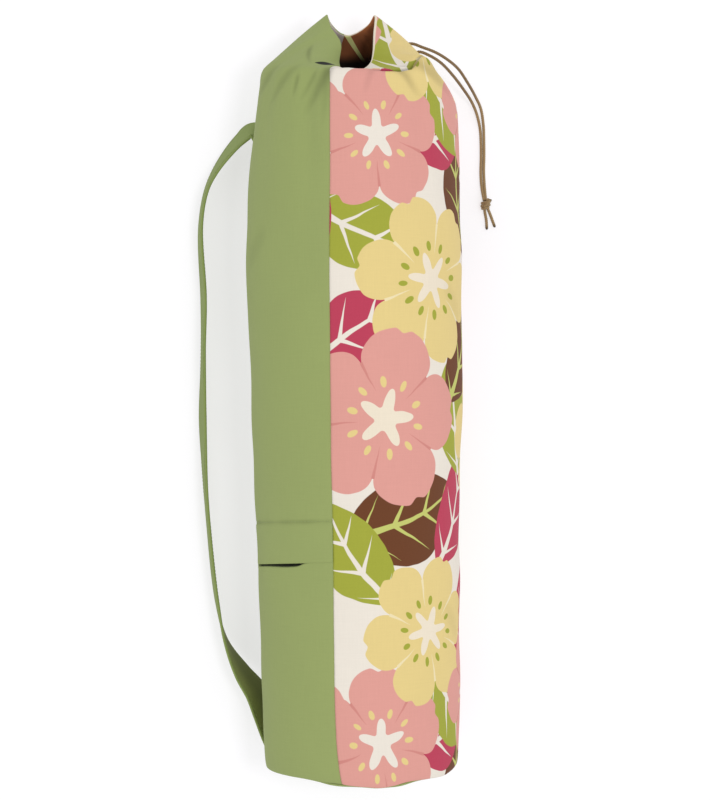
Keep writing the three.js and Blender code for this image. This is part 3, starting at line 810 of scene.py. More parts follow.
def cloth_shell(name, outer, normals, place, finish, lining, marks, collar_row=None):
    """A closed shell from the grid of its outer face, with its place on the cloth for each point. The
    marks are numbers for the material, one grid for each name. From the collar's row on, the cloth is
    folded over, so its map starts again there and is flat."""
    columns, rows = outer.shape[:2]
    inner = outer - CLOTH * normals
    middle = (outer + inner) / 2
    rim = rounded_edge(middle[:, -1], normals[:, -1], unit(outer[:, -1] - outer[:, -2]))
    foot = rounded_edge(middle[:, 0], normals[:, 0], unit(outer[:, 0] - outer[:, 1]))
    loop = np.concatenate([outer, rim, inner[:, ::-1], foot[:, ::-1]], axis=1)
    size = loop.shape[1]
    faces = grid_faces(columns, size, round_rows=True)
    row = np.tile(np.arange(size), columns - 1)
    numbers = ((row > rows + 1) & (row < 2 * rows + EDGE_STEPS)).astype(np.int32)
    back = rows + EDGE_STEPS + np.arange(rows)[::-1]
    front = np.arange(rows)
    side = np.stack([front[:-1], front[1:], back[1:], back[:-1]], axis=1)
    rim_end = [rows - 1] + list(range(rows, rows + EDGE_STEPS)) + [rows + EDGE_STEPS]
    foot_end = [2 * rows + EDGE_STEPS - 1] + list(range(2 * rows + EDGE_STEPS, size)) + [0]
    first = side.tolist() + [rim_end, foot_end]
    last = [[(columns - 1) * size + corner for corner in reversed(face)] for face in first]
    all_faces = faces.tolist() + first + last
    numbers = np.concatenate([numbers, np.zeros(2 * len(first), dtype=np.int32)])
    top = np.repeat(place[:, -1:], EDGE_STEPS, axis=1)
    bottom = np.repeat(place[:, :1], EDGE_STEPS, axis=1)
    cloth_map = np.concatenate([place, top, place[:, ::-1], bottom], axis=1).reshape(-1, 2)
    piece = new_piece(name, loop, all_faces, [finish, lining], numbers, cloth_map)
    if collar_row is not None:
        in_collar = (row >= collar_row) & (row < 2 * rows + EDGE_STEPS - collar_row)
        in_collar &= np.repeat(place[:-1, 0, 0] > math.radians(COLLAR_FOLD) * BODY_RADIUS, size)
        lay_collar_flat(piece, faces, in_collar, loop.reshape(-1, 3))
    for mark, values in marks.items():
        over_rim = np.repeat(values[:, -1:], EDGE_STEPS, axis=1)
        under_foot = np.repeat(values[:, :1], EDGE_STEPS, axis=1)
        inside = values[:, ::-1] if mark == "edge" else 0 * values
        add_attribute(piece, mark, np.concatenate([values, over_rim, inside, under_foot], axis=1))
    print(name, "has", 2 * len(all_faces), "triangles or more")
    return piece


# %% Rows of a panel
SWAY = table("along turn", [
    [0, 1.5], [12, 0], [40, -1.6], [190, -1.5], [330, -0.8], [460, 0], [560, 0.9], [600, 0.6], [612, 0.3],
])
SWAY_SPREAD = 40.0
SWAY_END = 1.06
SWAY_FADE = 0.06
COLLAR_CLOTH = 55 * MM
SHOULDER_SOFT = 10 * MM
SHOULDER_PASSES = 14
LOOK_GAP = 0.03
# Painted shade in creases and in the valley behind the front lip, darker where they are deeper.
HOLLOW_START = 0.3 * MM
HOLLOW_RANGE = 2.2 * MM
HOLLOW_SHADE = 0.55


def seam_sway(angle, along, station):
    """How far the front seam wanders round the tube, in degrees, less and less away from it."""
    turn = read_table(SWAY, "turn", along / MM) * ease((SWAY_END - station) / SWAY_FADE)
    return turn * np.exp(-((turn_from(angle, FRONT_SEAM) / SWAY_SPREAD) ** 2))


def panel_grid(from_angle, to_angle, columns, stations, inset=None):
    """Grid of a panel: even angles, and one row of stations for each of them. An inset says how far
    the cloth goes in at each place. Gives the points, their normals and places on the cloth, their
    angles, and the painted shade of the creases and of the valley behind the front lip."""
    angle = np.linspace(from_angle + LOOK_GAP, to_angle - LOOK_GAP, columns)[:, None]
    station = stations(angle) + 0 * angle
    angle = angle + 0 * station
    top = shoulder_along(angle)
    along = WALL_FOOT + (top - WALL_FOOT) * np.minimum(station, 1)
    along = along + COLLAR_CLOTH * np.maximum(station - 1, 0)
    near_shoulder = np.exp(-(((along - top) / SHOULDER_SOFT) ** 2))
    points = cloth_surface(angle + seam_sway(angle, along, station), station)
    points = soften_rows(points, near_shoulder, SHOULDER_PASSES)
    normals = outward_normals(points)
    relief, sharp = cloth_relief(angle, along, station)
    dip = 0.0 if inset is None else inset(angle, along)
    points = points + normals * (relief - dip)[..., None]
    points[..., 2] = np.maximum(points[..., 2], dip)
    points[..., 1] -= foot_drop(angle, along)
    place = np.stack([np.radians(angle) * BODY_RADIUS, along], axis=-1)
    painted_shade = HOLLOW_SHADE * np.clip((sharp - HOLLOW_START) / HOLLOW_RANGE, 0, 1)
    return points, normals, place, angle, painted_shade


print("the front seam wanders by up to", np.abs(SWAY["turn"]).max(), "degrees")

# %% [markdown]
# The plain side is dyed canvas, a soft yellowish green, and its back is a pinkish grey.
# The printed side has a brown facing inside its mouth. A tuck and a vein of the facing
# lie at fixed places, so these two materials read Object coordinates for them.

# %% Green canvas
TUCK_SLANT = 0.05
TUCK_MIDDLE = (-23.0 * MM, 314.4 * MM)
TUCK_HALF = (9.0 * MM, 2.1 * MM)
TUCK_EDGE = (0.85, 1.1)
TUCK_BLACK = (0.002, 0.002, 0.001, 1)


def object_place(tree):
    """X and Y on the table and the height above it."""
    apart = tree.nodes.new("ShaderNodeSeparateXYZ")
    put(tree, apart.inputs[0], tree.nodes.new("ShaderNodeTexCoord").outputs["Object"])
    return apart.outputs["X"], apart.outputs["Y"], apart.outputs["Z"]


def green_material(name, code):
    """Dyed canvas. A deep tuck at the foot of the left peak is so narrow that no light comes out of
    it: a lens round its middle, on the upper side only, is black."""
    material, tree, shader = new_material(name, CANVAS_ROUGHNESS, CANVAS_SHEEN)
    x, y, z = object_place(tree)
    wide = math_step(tree, "DIVIDE", math_step(tree, "SUBTRACT", x, TUCK_MIDDLE[0]), TUCK_HALF[0])
    bent = math_step(tree, "MULTIPLY_ADD", x, TUCK_SLANT, y)
    tall = math_step(tree, "DIVIDE", math_step(tree, "SUBTRACT", bent, TUCK_MIDDLE[1]), TUCK_HALF[1])
    span = math_step(tree, "MULTIPLY", wide, wide)
    lens = math_step(tree, "ADD", span, math_step(tree, "ABSOLUTE", tall))
    deep = math_step(tree, "SUBTRACT", 1.0, soft_step(tree, lens, *TUCK_EDGE))
    deep = math_step(tree, "MULTIPLY", deep, math_step(tree, "GREATER_THAN", z, AXIS_HEIGHT))
    base = mix_step(tree, deep, colour(code), TUCK_BLACK)
    finish_canvas(tree, shader, base, cloth_place(tree))
    return material


green_canvas = green_material("green_canvas", "#98a566")
strap_canvas = green_material("strap_canvas", "#8a9a58")
# The strap's under face is the same canvas in a slightly darker tone: painted shade.
strap_shaded_under = green_material("strap_shaded_under", "#8b9350")
reverse_canvas = green_material("reverse_canvas", "#ebdbd2")
print("a green material has", len(green_canvas.node_tree.nodes), "nodes")

# %% The facing inside the mouth
FACING_PAINTED_LIGHT = 2.7
FACING_DEPTH = (24 * MM, 40 * MM)
FACING_PAINTED_SHADE = (0.02, 0.012, 0.008, 1)
VEIN_FROM = (-4.0 * MM, 354.0 * MM)
VEIN_TO = (15.0 * MM, 330.0 * MM)
VEIN_WIDTHS = (2.3 * MM, 1.0 * MM)
VEIN_EDGE = 0.25 * MM


def facing_material():
    """The facing inside the mouth: brown, with one pale vein, a straight line that narrows from end
    to end. Its colour is brightened all over as painted light, for the sky that reaches it near the rim,
    and from 24 to 40 mm inside the rim it fades to near black, as painted shade."""
    material, tree, shader = new_material("facing_canvas", CANVAS_ROUGHNESS, CANVAS_SHEEN)
    x, y, _ = object_place(tree)
    run = (VEIN_TO[0] - VEIN_FROM[0], VEIN_TO[1] - VEIN_FROM[1])
    length = math.hypot(*run)
    east, north = run[0] / length, run[1] / length
    dx = math_step(tree, "SUBTRACT", x, VEIN_FROM[0])
    dy = math_step(tree, "SUBTRACT", y, VEIN_FROM[1])
    ahead = math_step(tree, "MULTIPLY_ADD", dx, east, math_step(tree, "MULTIPLY", dy, north))
    aside = math_step(tree, "MULTIPLY_ADD", dx, north, math_step(tree, "MULTIPLY", dy, -east))
    width = ramp_step(tree, ahead, -0.1 * length, length, *VEIN_WIDTHS)
    inside = math_step(tree, "SUBTRACT", width, math_step(tree, "ABSOLUTE", aside))
    vein = soft_step(tree, inside, -VEIN_EDGE, VEIN_EDGE)
    vein = math_step(tree, "MULTIPLY", vein, math_step(tree, "GREATER_THAN", y, VEIN_TO[1]))
    # The brown and the vein are brightened as painted light; deeper inside they turn to painted shade.
    base = mix_step(tree, vein, colour("#6b3e23", FACING_PAINTED_LIGHT), colour("#c3c86a", FACING_PAINTED_LIGHT))
    depth = soft_step(tree, attribute_step(tree, "edge"), *FACING_DEPTH)
    base = mix_step(tree, depth, base, FACING_PAINTED_SHADE)
    finish_canvas(tree, shader, base, cloth_place(tree))
    return material


facing_canvas = facing_material()
print("materials so far:", [material.name for material in bpy.data.materials])

# %% [markdown]
# The print has large round blossoms and plain pointed leaves. Each motif is a formula in
# the shader, so that its outline stays sharp however close the camera comes.
# A motif has its own little coordinate system: the cloth's place, less the motif's
# centre, wrapped round the size of the repeat and turned. Distances are in metres.

# %% Motif groups
REPEAT_WIDTH = 330 * MM
REPEAT_LENGTH = 520 * MM
INK_EDGE = 0.35 * MM
VEIN_PITCH = 31 * MM


def new_group(name, inputs, outputs):
    """An empty node group with a vector input called Place and numbers."""
    group = bpy.data.node_groups.new(name, "ShaderNodeTree")
    group.interface.new_socket(name="Place", in_out="INPUT", socket_type="NodeSocketVector")
    for label in inputs:
        group.interface.new_socket(name=label, in_out="INPUT", socket_type="NodeSocketFloat")
    for label in outputs:
        group.interface.new_socket(name=label, in_out="OUTPUT", socket_type="NodeSocketFloat")
    start = group.nodes.new("NodeGroupInput")
    end = group.nodes.new("NodeGroupOutput")
    apart = group.nodes.new("ShaderNodeSeparateXYZ")
    group.links.new(start.outputs["Place"], apart.inputs[0])
    return group, start.outputs, end.inputs, apart.outputs["X"], apart.outputs["Y"]


def inked_where(group, inside):
    """1 where a distance inside an outline is positive, with an edge as soft as ink on cloth."""
    return soft_step(group, inside, -INK_EDGE, INK_EDGE)


print("the print repeats every", REPEAT_WIDTH / MM, "by", REPEAT_LENGTH / MM, "mm")

# %% A blossom
LOBE_ROUNDNESS = 0.42
LOBE_DEPTH = 0.4
NOTCH_SPREAD = 0.3
NOTCH_DEPTH = 0.055
LINE_FROM = 0.3
LINE_TO = 0.66
LINE_HALF = 0.0013
THROAT_REACH = 0.13
STREAK_REACH = 0.2
STREAK_SHARPNESS = 3.0
DROP_RING = 0.4
DROP_LONG = 0.062
DROP_WIDE = 0.034
DROP_EDGE = 0.08


def blossom_group():
    """A round blossom: its edge swings with the angle, so that each petal is a full lobe with a small
    notch at its end. Lines part the petals, streaks run out of the throat, and drops ring it."""
    outputs = ["Petal", "Line", "Throat", "Drop"]
    group, given, result, x, y = new_group("blossom", ["Radius", "Petals"], outputs)
    radius = given["Radius"]
    reach = vector_step(group, "LENGTH", given["Place"])
    angle = math_step(group, "ARCTAN2", y, x)
    half = math_step(group, "MULTIPLY", math_step(group, "MULTIPLY", angle, given["Petals"]), 0.5)
    cosine = math_step(group, "ABSOLUTE", math_step(group, "COSINE", half))
    sine = math_step(group, "ABSOLUTE", math_step(group, "SINE", half))
    lobe = math_step(group, "POWER", cosine, LOBE_ROUNDNESS)
    notch = math_step(group, "SUBTRACT", 1.0, soft_step(group, sine, 0.0, NOTCH_SPREAD))
    outline = math_step(group, "MULTIPLY_ADD", lobe, LOBE_DEPTH, 1 - LOBE_DEPTH)
    outline = math_step(group, "MULTIPLY_ADD", notch, -NOTCH_DEPTH, outline)
    edge = math_step(group, "MULTIPLY", outline, radius)
    inside = math_step(group, "SUBTRACT", edge, reach)
    put(group, result["Petal"], inked_where(group, inside))
    share = math_step(group, "DIVIDE", reach, radius)
    sideways = math_step(group, "MULTIPLY", cosine, reach)
    sideways = math_step(group, "DIVIDE", sideways, math_step(group, "MULTIPLY", given["Petals"], 0.5))
    thick = ramp_step(group, share, LINE_FROM, LINE_TO, 0.0, LINE_HALF)
    line = inked_where(group, math_step(group, "SUBTRACT", thick, sideways))
    line = math_step(group, "MULTIPLY", line, soft_step(group, share, LINE_FROM, LINE_FROM + 0.04))
    short = math_step(group, "LESS_THAN", share, LINE_TO + 0.02)
    put(group, result["Line"], math_step(group, "MULTIPLY", line, short))
    streak = math_step(group, "POWER", cosine, STREAK_SHARPNESS)
    streak = math_step(group, "MULTIPLY_ADD", streak, STREAK_REACH, THROAT_REACH)
    throat = math_step(group, "SUBTRACT", streak, share)
    put(group, result["Throat"], inked_where(group, math_step(group, "MULTIPLY", throat, radius)))
    count = math_step(group, "MULTIPLY", given["Petals"], 2.0)
    around = math_step(group, "MULTIPLY", math_step(group, "MULTIPLY", angle, count), 0.5 / math.pi)
    phase = math_step(group, "SUBTRACT", math_step(group, "FRACT", around), 0.5)
    across = math_step(group, "DIVIDE", math_step(group, "MULTIPLY", phase, 2 * math.pi), count)
    across = math_step(group, "DIVIDE", math_step(group, "MULTIPLY", across, share), DROP_WIDE)
    outwards = math_step(group, "DIVIDE", math_step(group, "SUBTRACT", share, DROP_RING), DROP_LONG)
    square = math_step(group, "MULTIPLY", outwards, outwards)
    oval = math_step(group, "MULTIPLY_ADD", across, across, square)
    drop = math_step(group, "SUBTRACT", 1.0, math_step(group, "SQRT", oval))
    put(group, result["Drop"], soft_step(group, drop, -DROP_EDGE, DROP_EDGE))
    return group


BLOSSOM = blossom_group()
print("a blossom has", len(BLOSSOM.nodes), "nodes")

# %% A leaf
LENS_ROUNDNESS = 0.85
RIB_WIDTHS = (0.0034, 0.0008)
RIB_END = 0.85
VEIN_SLANT = 0.9
VEIN_HALF = 0.0026
VEIN_REACH = 0.86
VEIN_FADE = (0.12, 0.2)


def leaf_group():
    """A bent lens: its half width is the leaf's own times a power of one less the square of the place
    along it. The midrib tapers, and the side veins are slanted stripes that end before the edge."""
    group, given, result, x, y = new_group("leaf", ["Length", "Width", "Bend"], ["Blade", "Vein"])
    share = math_step(group, "DIVIDE", x, given["Length"])
    square = math_step(group, "MULTIPLY", share, share)
    bent = math_step(group, "MULTIPLY_ADD", math_step(group, "MULTIPLY", square, given["Bend"]), -1.0, y)
    off = math_step(group, "ABSOLUTE", bent)
    left = math_step(group, "MAXIMUM", math_step(group, "SUBTRACT", 1.0, square), 0.0)
    lens = math_step(group, "MULTIPLY", math_step(group, "POWER", left, LENS_ROUNDNESS), given["Width"])
    inside = math_step(group, "SUBTRACT", lens, off)
    within = math_step(group, "SUBTRACT", 1.0, math_step(group, "ABSOLUTE", share))
    here = math_step(group, "GREATER_THAN", within, 0.0)
    blade = math_step(group, "MULTIPLY", inked_where(group, inside), here)
    put(group, result["Blade"], blade)
    rib = math_step(group, "SUBTRACT", ramp_step(group, share, -1.0, RIB_END, *RIB_WIDTHS), off)
    rib = inked_where(group, rib)
    slanted = math_step(group, "MULTIPLY_ADD", off, -VEIN_SLANT, x)
    stripe = math_step(group, "FRACT", math_step(group, "DIVIDE", slanted, VEIN_PITCH))
    stripe = math_step(group, "ABSOLUTE", math_step(group, "SUBTRACT", stripe, 0.5))
    stripe = math_step(group, "MULTIPLY", stripe, VEIN_PITCH)
    fading = math_step(group, "DIVIDE", off, math_step(group, "MAXIMUM", lens, 0.001))
    width = ramp_step(group, fading, 0.0, VEIN_REACH, VEIN_HALF, 0.0)
    vein = inked_where(group, math_step(group, "SUBTRACT", width, stripe))
    vein = math_step(group, "MULTIPLY", vein, soft_step(group, within, *VEIN_FADE))
    vein = math_step(group, "MULTIPLY", vein, math_step(group, "LESS_THAN", fading, VEIN_REACH))
    put(group, result["Vein"], math_step(group, "MULTIPLY", math_step(group, "MAXIMUM", rib, vein), blade))
    return group


LEAF = leaf_group()
print("a leaf has", len(LEAF.nodes), "nodes")

# %% [markdown]
# The layout is a list of motifs in painter's order, from the ground up. Leaves come
# first and blossoms lie over them. Places are in millimetres round the tube from its top
# line and along it from its foot, and turns are in degrees.

# %% Layout of the print
CREAM = "#ece4d8"
PINK = "#e09f95"
DEEP_PINK = "#d28a82"
YELLOW = "#e6cf8b"
CRIMSON = "#bd405a"
BROWN = "#6c3f24"
LEAF_GREEN = "#a3a83d"
PALE_GREEN = "#c5ca70"
PETAL_CREAM = "#eee2cd"
PALE_YELLOW = "#efe0b4"

# Each leaf: place round and along the tube, turn, half length, half width, bend, blade and veins.
LEAVES = [
    (52, 228, 20, 62, 38, 8, BROWN, PALE_GREEN),
    (0, 196, 125, 54, 30, -8, LEAF_GREEN, CREAM),
    (122, 236, 62, 60, 32, 10, CRIMSON, CREAM),
    (112, 318, 100, 56, 30, -8, LEAF_GREEN, CREAM),
    (134, 372, 60, 54, 30, 9, BROWN, PALE_GREEN),
    (2, 392, 30, 52, 32, -9, CRIMSON, CREAM),
    (6, 476, -24, 56, 32, 8, LEAF_GREEN, CREAM),
    (132, 512, 100, 60, 34, -10, BROWN, PALE_GREEN),
    (98, 560, 20, 50, 28, 9, CRIMSON, CREAM),
    (112, 62, -40, 56, 32, 9, LEAF_GREEN, CREAM),
    (146, 130, 80, 58, 32, 8, CRIMSON, CREAM),
    (190, 210, 40, 60, 34, -9, LEAF_GREEN, CREAM),
    (200, 470, 60, 58, 34, 9, BROWN, PALE_GREEN),
    (262, 260, 120, 60, 34, 9, BROWN, PALE_GREEN),
    (278, 470, 70, 56, 32, -9, CRIMSON, CREAM),
    (200, 20, 20, 56, 32, 8, LEAF_GREEN, CREAM),
    (270, 90, 130, 56, 32, 9, LEAF_GREEN, CREAM),
]
# Each blossom: place round and along, radius, turn, petals, petal, line, throat and drop colours.
BLOSSOMS = [
    (24, 558, 66, 20, 5, PINK, DEEP_PINK, CREAM, YELLOW),
    (76, 434, 74, 50, 6, YELLOW, PALE_YELLOW, PETAL_CREAM, LEAF_GREEN),
    (30, 316, 78, 5, 5, PINK, DEEP_PINK, PETAL_CREAM, YELLOW),
    (74, 132, 66, 70, 6, YELLOW, PALE_YELLOW, PETAL_CREAM, LEAF_GREEN),
    (172, 300, 58, 30, 5, YELLOW, PALE_YELLOW, PETAL_CREAM, CRIMSON),
    (215, 380, 76, 60, 5, PINK, DEEP_PINK, CREAM, YELLOW),
    (228, 142, 74, 15, 6, YELLOW, PALE_YELLOW, PETAL_CREAM, LEAF_GREEN),
    (160, 592, 58, 40, 5, PINK, DEEP_PINK, CREAM, YELLOW),
    (255, 575, 70, 80, 5, PINK, DEEP_PINK, CREAM, YELLOW),
]
print("the print has", len(LEAVES), "leaves and", len(BLOSSOMS), "blossoms in a repeat")

# %% Painting the motifs
TRACE = 1e-9
WOBBLE_SCALE = 26.0
WOBBLE = 6 * MM
BARE_EDGE = (0.8 * MM, 1.6 * MM)


def motif_place(tree, place, centre, turn):
    """Place in a motif's own coordinates: less its centre, wrapped round the repeat, and turned."""
    moved = vector_step(tree, "SUBTRACT", place, (centre[0] * MM, centre[1] * MM, 0))
    half = (REPEAT_WIDTH / 2, REPEAT_LENGTH / 2, 1)
    wrapped = vector_step(tree, "WRAP", moved, half, tuple(-size for size in half))
    node = tree.nodes.new("ShaderNodeVectorRotate")
    node.rotation_type = "Z_AXIS"
    node.inputs["Angle"].default_value = -math.radians(turn)
    put(tree, node.inputs["Vector"], wrapped)
    return node.outputs["Vector"]


def after(tree, place, inked):
    """The place, with a trace of the colour so far that is far too small to see. A motif that needs
    that colour is worked out after the ones below it, so only one is held in memory at a time."""
    return vector_step(tree, "MULTIPLY_ADD", inked, (TRACE, TRACE, TRACE), place)


def use_group(tree, group, place, **numbers):
    """A motif's group at a place, with its numbers set."""
    node = tree.nodes.new("ShaderNodeGroup")
    node.node_tree = group
    put(tree, node.inputs["Place"], place)
    for label, value in numbers.items():
        node.inputs[label].default_value = value
    return node.outputs


def print_colours(tree, place):
    """Paints the motifs one over the other on cream ground."""
    wobble = noise_step(tree, place, WOBBLE_SCALE, 2.0, "Color")
    shifted = vector_step(tree, "MULTIPLY_ADD", wobble, (WOBBLE, WOBBLE, 0.0), place)
    inked = vector_step(tree, "MULTIPLY_ADD", wobble, (TRACE, TRACE, TRACE), colour(CREAM)[:3])
    for x, y, turn, length, width, bend, fill, line in LEAVES:
        own = motif_place(tree, after(tree, shifted, inked), (x, y), turn)
        leaf = use_group(tree, LEAF, own, Length=length * MM, Width=width * MM, Bend=bend * MM)
        inked = mix_step(tree, leaf["Blade"], inked, colour(fill))
        inked = mix_step(tree, leaf["Vein"], inked, colour(line))
    for x, y, radius, turn, petals, fill, line, throat, drop in BLOSSOMS:
        own = motif_place(tree, after(tree, shifted, inked), (x, y), turn)
        bloom = use_group(tree, BLOSSOM, own, Radius=radius * MM, Petals=petals)
        inked = mix_step(tree, bloom["Petal"], inked, colour(fill))
        inked = mix_step(tree, bloom["Line"], inked, colour(line))
        inked = mix_step(tree, bloom["Throat"], inked, colour(throat))
        inked = mix_step(tree, bloom["Drop"], inked, colour(drop))
    return inked


def print_material():
    """Printed canvas, with a bare cream edge where the cloth is turned at the rim."""
    material, tree, shader = new_material("printed_canvas", CANVAS_ROUGHNESS, CANVAS_SHEEN)
    place = cloth_place(tree)
    inked = print_colours(tree, place)
    bare = math_step(tree, "SUBTRACT", 1.0, soft_step(tree, attribute_step(tree, "edge"), *BARE_EDGE))
    hemmed = mix_step(tree, bare, inked, colour(PETAL_CREAM))
    finish_canvas(tree, shader, hemmed, place)
    print("the print has", len(tree.nodes), "nodes")
    return material


printed_canvas = print_material()

# %% The printed side
FOOT_ROWS_TO = 0.02
TOP_ROWS_FROM = 0.9
WALL_ROWS = np.concatenate([
    np.linspace(0, FOOT_ROWS_TO, 7)[:-1],
    np.linspace(FOOT_ROWS_TO, TOP_ROWS_FROM, 132)[:-1],
    np.linspace(TOP_ROWS_FROM, 1, 34),
])
COLLAR_ROWS = np.linspace(1, 2, 46)[1:]
PRINT_COLUMNS = 196


def all_rows(angle):
    """The same rows at every angle."""
    return np.concatenate([WALL_ROWS, COLLAR_ROWS])[None, :]


def rim_distance(points):
    """Distance of each point from the rim, along its column."""
    steps = np.linalg.norm(np.diff(points, axis=1), axis=2)
    back = np.cumsum(steps[:, ::-1], axis=1)[:, ::-1]
    return np.concatenate([back, np.zeros((len(points), 1))], axis=1)


points, normals, place, angle, painted_shade = panel_grid(
    FRONT_SEAM, BACK_SEAM + FULL_TURN, PRINT_COLUMNS, all_rows,
)
marks = {"painted_shade": painted_shade, "edge": rim_distance(points)}
shoulder_row = len(WALL_ROWS) - 1
print_piece = cloth_shell(
    "printed_side", points, normals, place, printed_canvas, facing_canvas, marks, shoulder_row,
)
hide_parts("panel_print")

# %% [markdown]
# The green side is two pieces. The lower one rises behind the hem of the upper one,
# which makes the pocket: its opening is the slit in the hem's lower edge. Only the left
# part of the slit is open, the rest is sewn shut.

# %% The green side above the pocket
POCKET_HEM_ALONG = 184.4 * MM
POCKET_HEM_SLANT = 7 * MM
POCKET_BAND = 36.6 * MM
POCKET_SEAM_SLANT = 5 * MM
POCKET_TUCK = 24 * MM
POCKET_DIP = 5 * MM
POCKET_CLEARANCE = 0.7 * MM
SLIT_GAPE = 2.6 * MM
SLIT_END = -27.5
SLIT_TAPER = 9.0
SLIT_FAR_END = -86.0
SLIT_WIDEST = -43.0
CLOSED_DIP = 0.5 * MM
OPEN_DIP = 4.5 * MM
DIP_SHARPNESS = 0.45
LAP_HEIGHT = 0.6 * MM
LAP_WIDTH = 1.8 * MM
GREEN_COLUMNS = 132
HEM_THICK = 0.55 * MM
HEM_FADE = 4 * MM
BAND_MARGIN = 5 * MM
GROOVE_DEPTH = 0.9 * MM
GROOVE_SPREAD = 1.9 * MM


def hem_along(angle):
    """The hem's lower edge, as a distance along the tube."""
    return POCKET_HEM_ALONG + POCKET_HEM_SLANT * np.cos(np.radians(angle))


def seam_along(angle):
    """The stitched line of the band above the hem."""
    return POCKET_HEM_ALONG + POCKET_BAND + POCKET_SEAM_SLANT * np.cos(np.radians(angle))


def station_at(along, angle):
    """The station of a distance along the wall."""
    return (along - WALL_FOOT) / (shoulder_along(angle) - WALL_FOOT)


def upper_rows(angle):
    """Rows from the hem to the rim: close ones over the band, then those of the whole wall."""
    hem = station_at(hem_along(angle), angle)
    seam = station_at(seam_along(angle) + BAND_MARGIN, angle)
    band = hem + (seam - hem) * np.linspace(0, 1, 34)[None, :-1]
    wall = seam + (TOP_ROWS_FROM - seam) * np.linspace(0, 1, 92)[None, :-1]
    rest = np.concatenate([WALL_ROWS[WALL_ROWS >= TOP_ROWS_FROM], COLLAR_ROWS])[None, :] + 0 * angle
    return np.concatenate([band, wall, rest], axis=1)


def hem_relief(angle, along):
    """The doubled cloth of the hem stands a little higher, and its stitched line is a groove."""
    above = along - seam_along(angle)
    doubled = HEM_THICK * ease((HEM_FADE - above) / HEM_FADE)
    return doubled - GROOVE_DEPTH * np.exp(-((above / GROOVE_SPREAD) ** 2))


def groove_share(angle):
    """The groove's painted shade, which comes and goes a little round the tube."""
    return 0.15 + 0.05 * np.sin(np.radians(angle) * 9 + 0.6) + 0.04 * np.sin(np.radians(angle) * 23)


points, normals, place, angle, painted_shade = panel_grid(BACK_SEAM, FRONT_SEAM, GREEN_COLUMNS, upper_rows)
points = points + normals * hem_relief(angle, place[..., 1])[..., None]
points[..., 2] = np.maximum(points[..., 2], 0)
# The stitched groove is darkened with painted shade as well.
groove = np.exp(-(((place[..., 1] - seam_along(angle)) / GROOVE_SPREAD) ** 2))
painted_shade = np.maximum(painted_shade, groove * groove_share(angle))
marks = {"painted_shade": painted_shade}
upper_piece = cloth_shell("green_side", points, normals, place, green_canvas, reverse_canvas, marks)
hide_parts("panel_plain")
upper_points, upper_normals = points, normals

# %% The green side below the pocket
def lower_rows(angle):
    """Rows from the foot to the tuck behind the hem, close together where the cloth dips."""
    low = station_at(hem_along(angle) - 1.6 * POCKET_DIP, angle)
    hem = station_at(hem_along(angle), angle)
    high = station_at(hem_along(angle) + POCKET_TUCK, angle)
    wall = np.linspace(0, 1, 50)[None, :-1] * low
    dipping = low + (hem - low) * np.linspace(0, 1, 26)[None, :-1]
    tucked = hem + (high - hem) * np.linspace(0, 1, 10)[None, :]
    return np.concatenate([wall, dipping, tucked], axis=1)


def slit_open(angle):
    """1 where the slit gapes, 0 where it is sewn shut, with a short taper at each end."""
    return ease((SLIT_END - angle) / SLIT_TAPER) * ease((angle - SLIT_FAR_END) / SLIT_TAPER)


def slit_start(angle):
    """How far below the hem the lower cloth begins to go in."""
    widest = 0.72 + 0.28 * np.exp(-(((angle - SLIT_WIDEST) / 12) ** 2))
    return CLOSED_DIP + (OPEN_DIP * widest - CLOSED_DIP) * slit_open(angle)


def slit_dip(angle, along):
    """How far the lower cloth goes in under the hem: a smooth step, deeper where the slit gapes."""
    open_share = slit_open(angle)
    start = slit_start(angle)
    under = ease((along - hem_along(angle) + start) / ((1 - DIP_SHARPNESS) * start))
    lip = LAP_HEIGHT * np.exp(-(((along - hem_along(angle) + start + LAP_WIDTH) / LAP_WIDTH) ** 2))
    return under * (CLOTH + POCKET_CLEARANCE + SLIT_GAPE * open_share) - lip * (0.3 + 0.7 * open_share)


def slit_shade(angle, along):
    """Little light reaches the cloth inside the open slit."""
    inside = ease((along - hem_along(angle) + slit_start(angle)) / (0.35 * OPEN_DIP))
    return inside * ease(2.5 * slit_open(angle))


points, normals, place, angle, painted_shade = panel_grid(
    BACK_SEAM, FRONT_SEAM, GREEN_COLUMNS, lower_rows, slit_dip,
)
painted_shade = np.maximum(painted_shade, slit_shade(angle, place[..., 1]))
marks = {"painted_shade": painted_shade}
lower_piece = cloth_shell("pocket_side", points, normals, place, green_canvas, reverse_canvas, marks)
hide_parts("pocket_panel")

# %% [markdown]
# Stitches are tiny capsules of thread, half sunk into the cloth. One capsule is worked
# out once, in its own directions: ahead, aside and up. Every stitch along a line is the
# same capsule, carried to its place and turned to the line's direction there.

# %% Stitches
STITCH_PITCH = 3.4 * MM
STITCH_LENGTH = 2.5 * MM
STITCH_THICK = 0.55 * MM
STITCH_SIDES = 8
STITCH_RINGS = np.array([[-1.0, 0.25], [-0.93, 0.7], [-0.7, 1.0], [0.7, 1.0], [0.93, 0.7], [1.0, 0.25]])


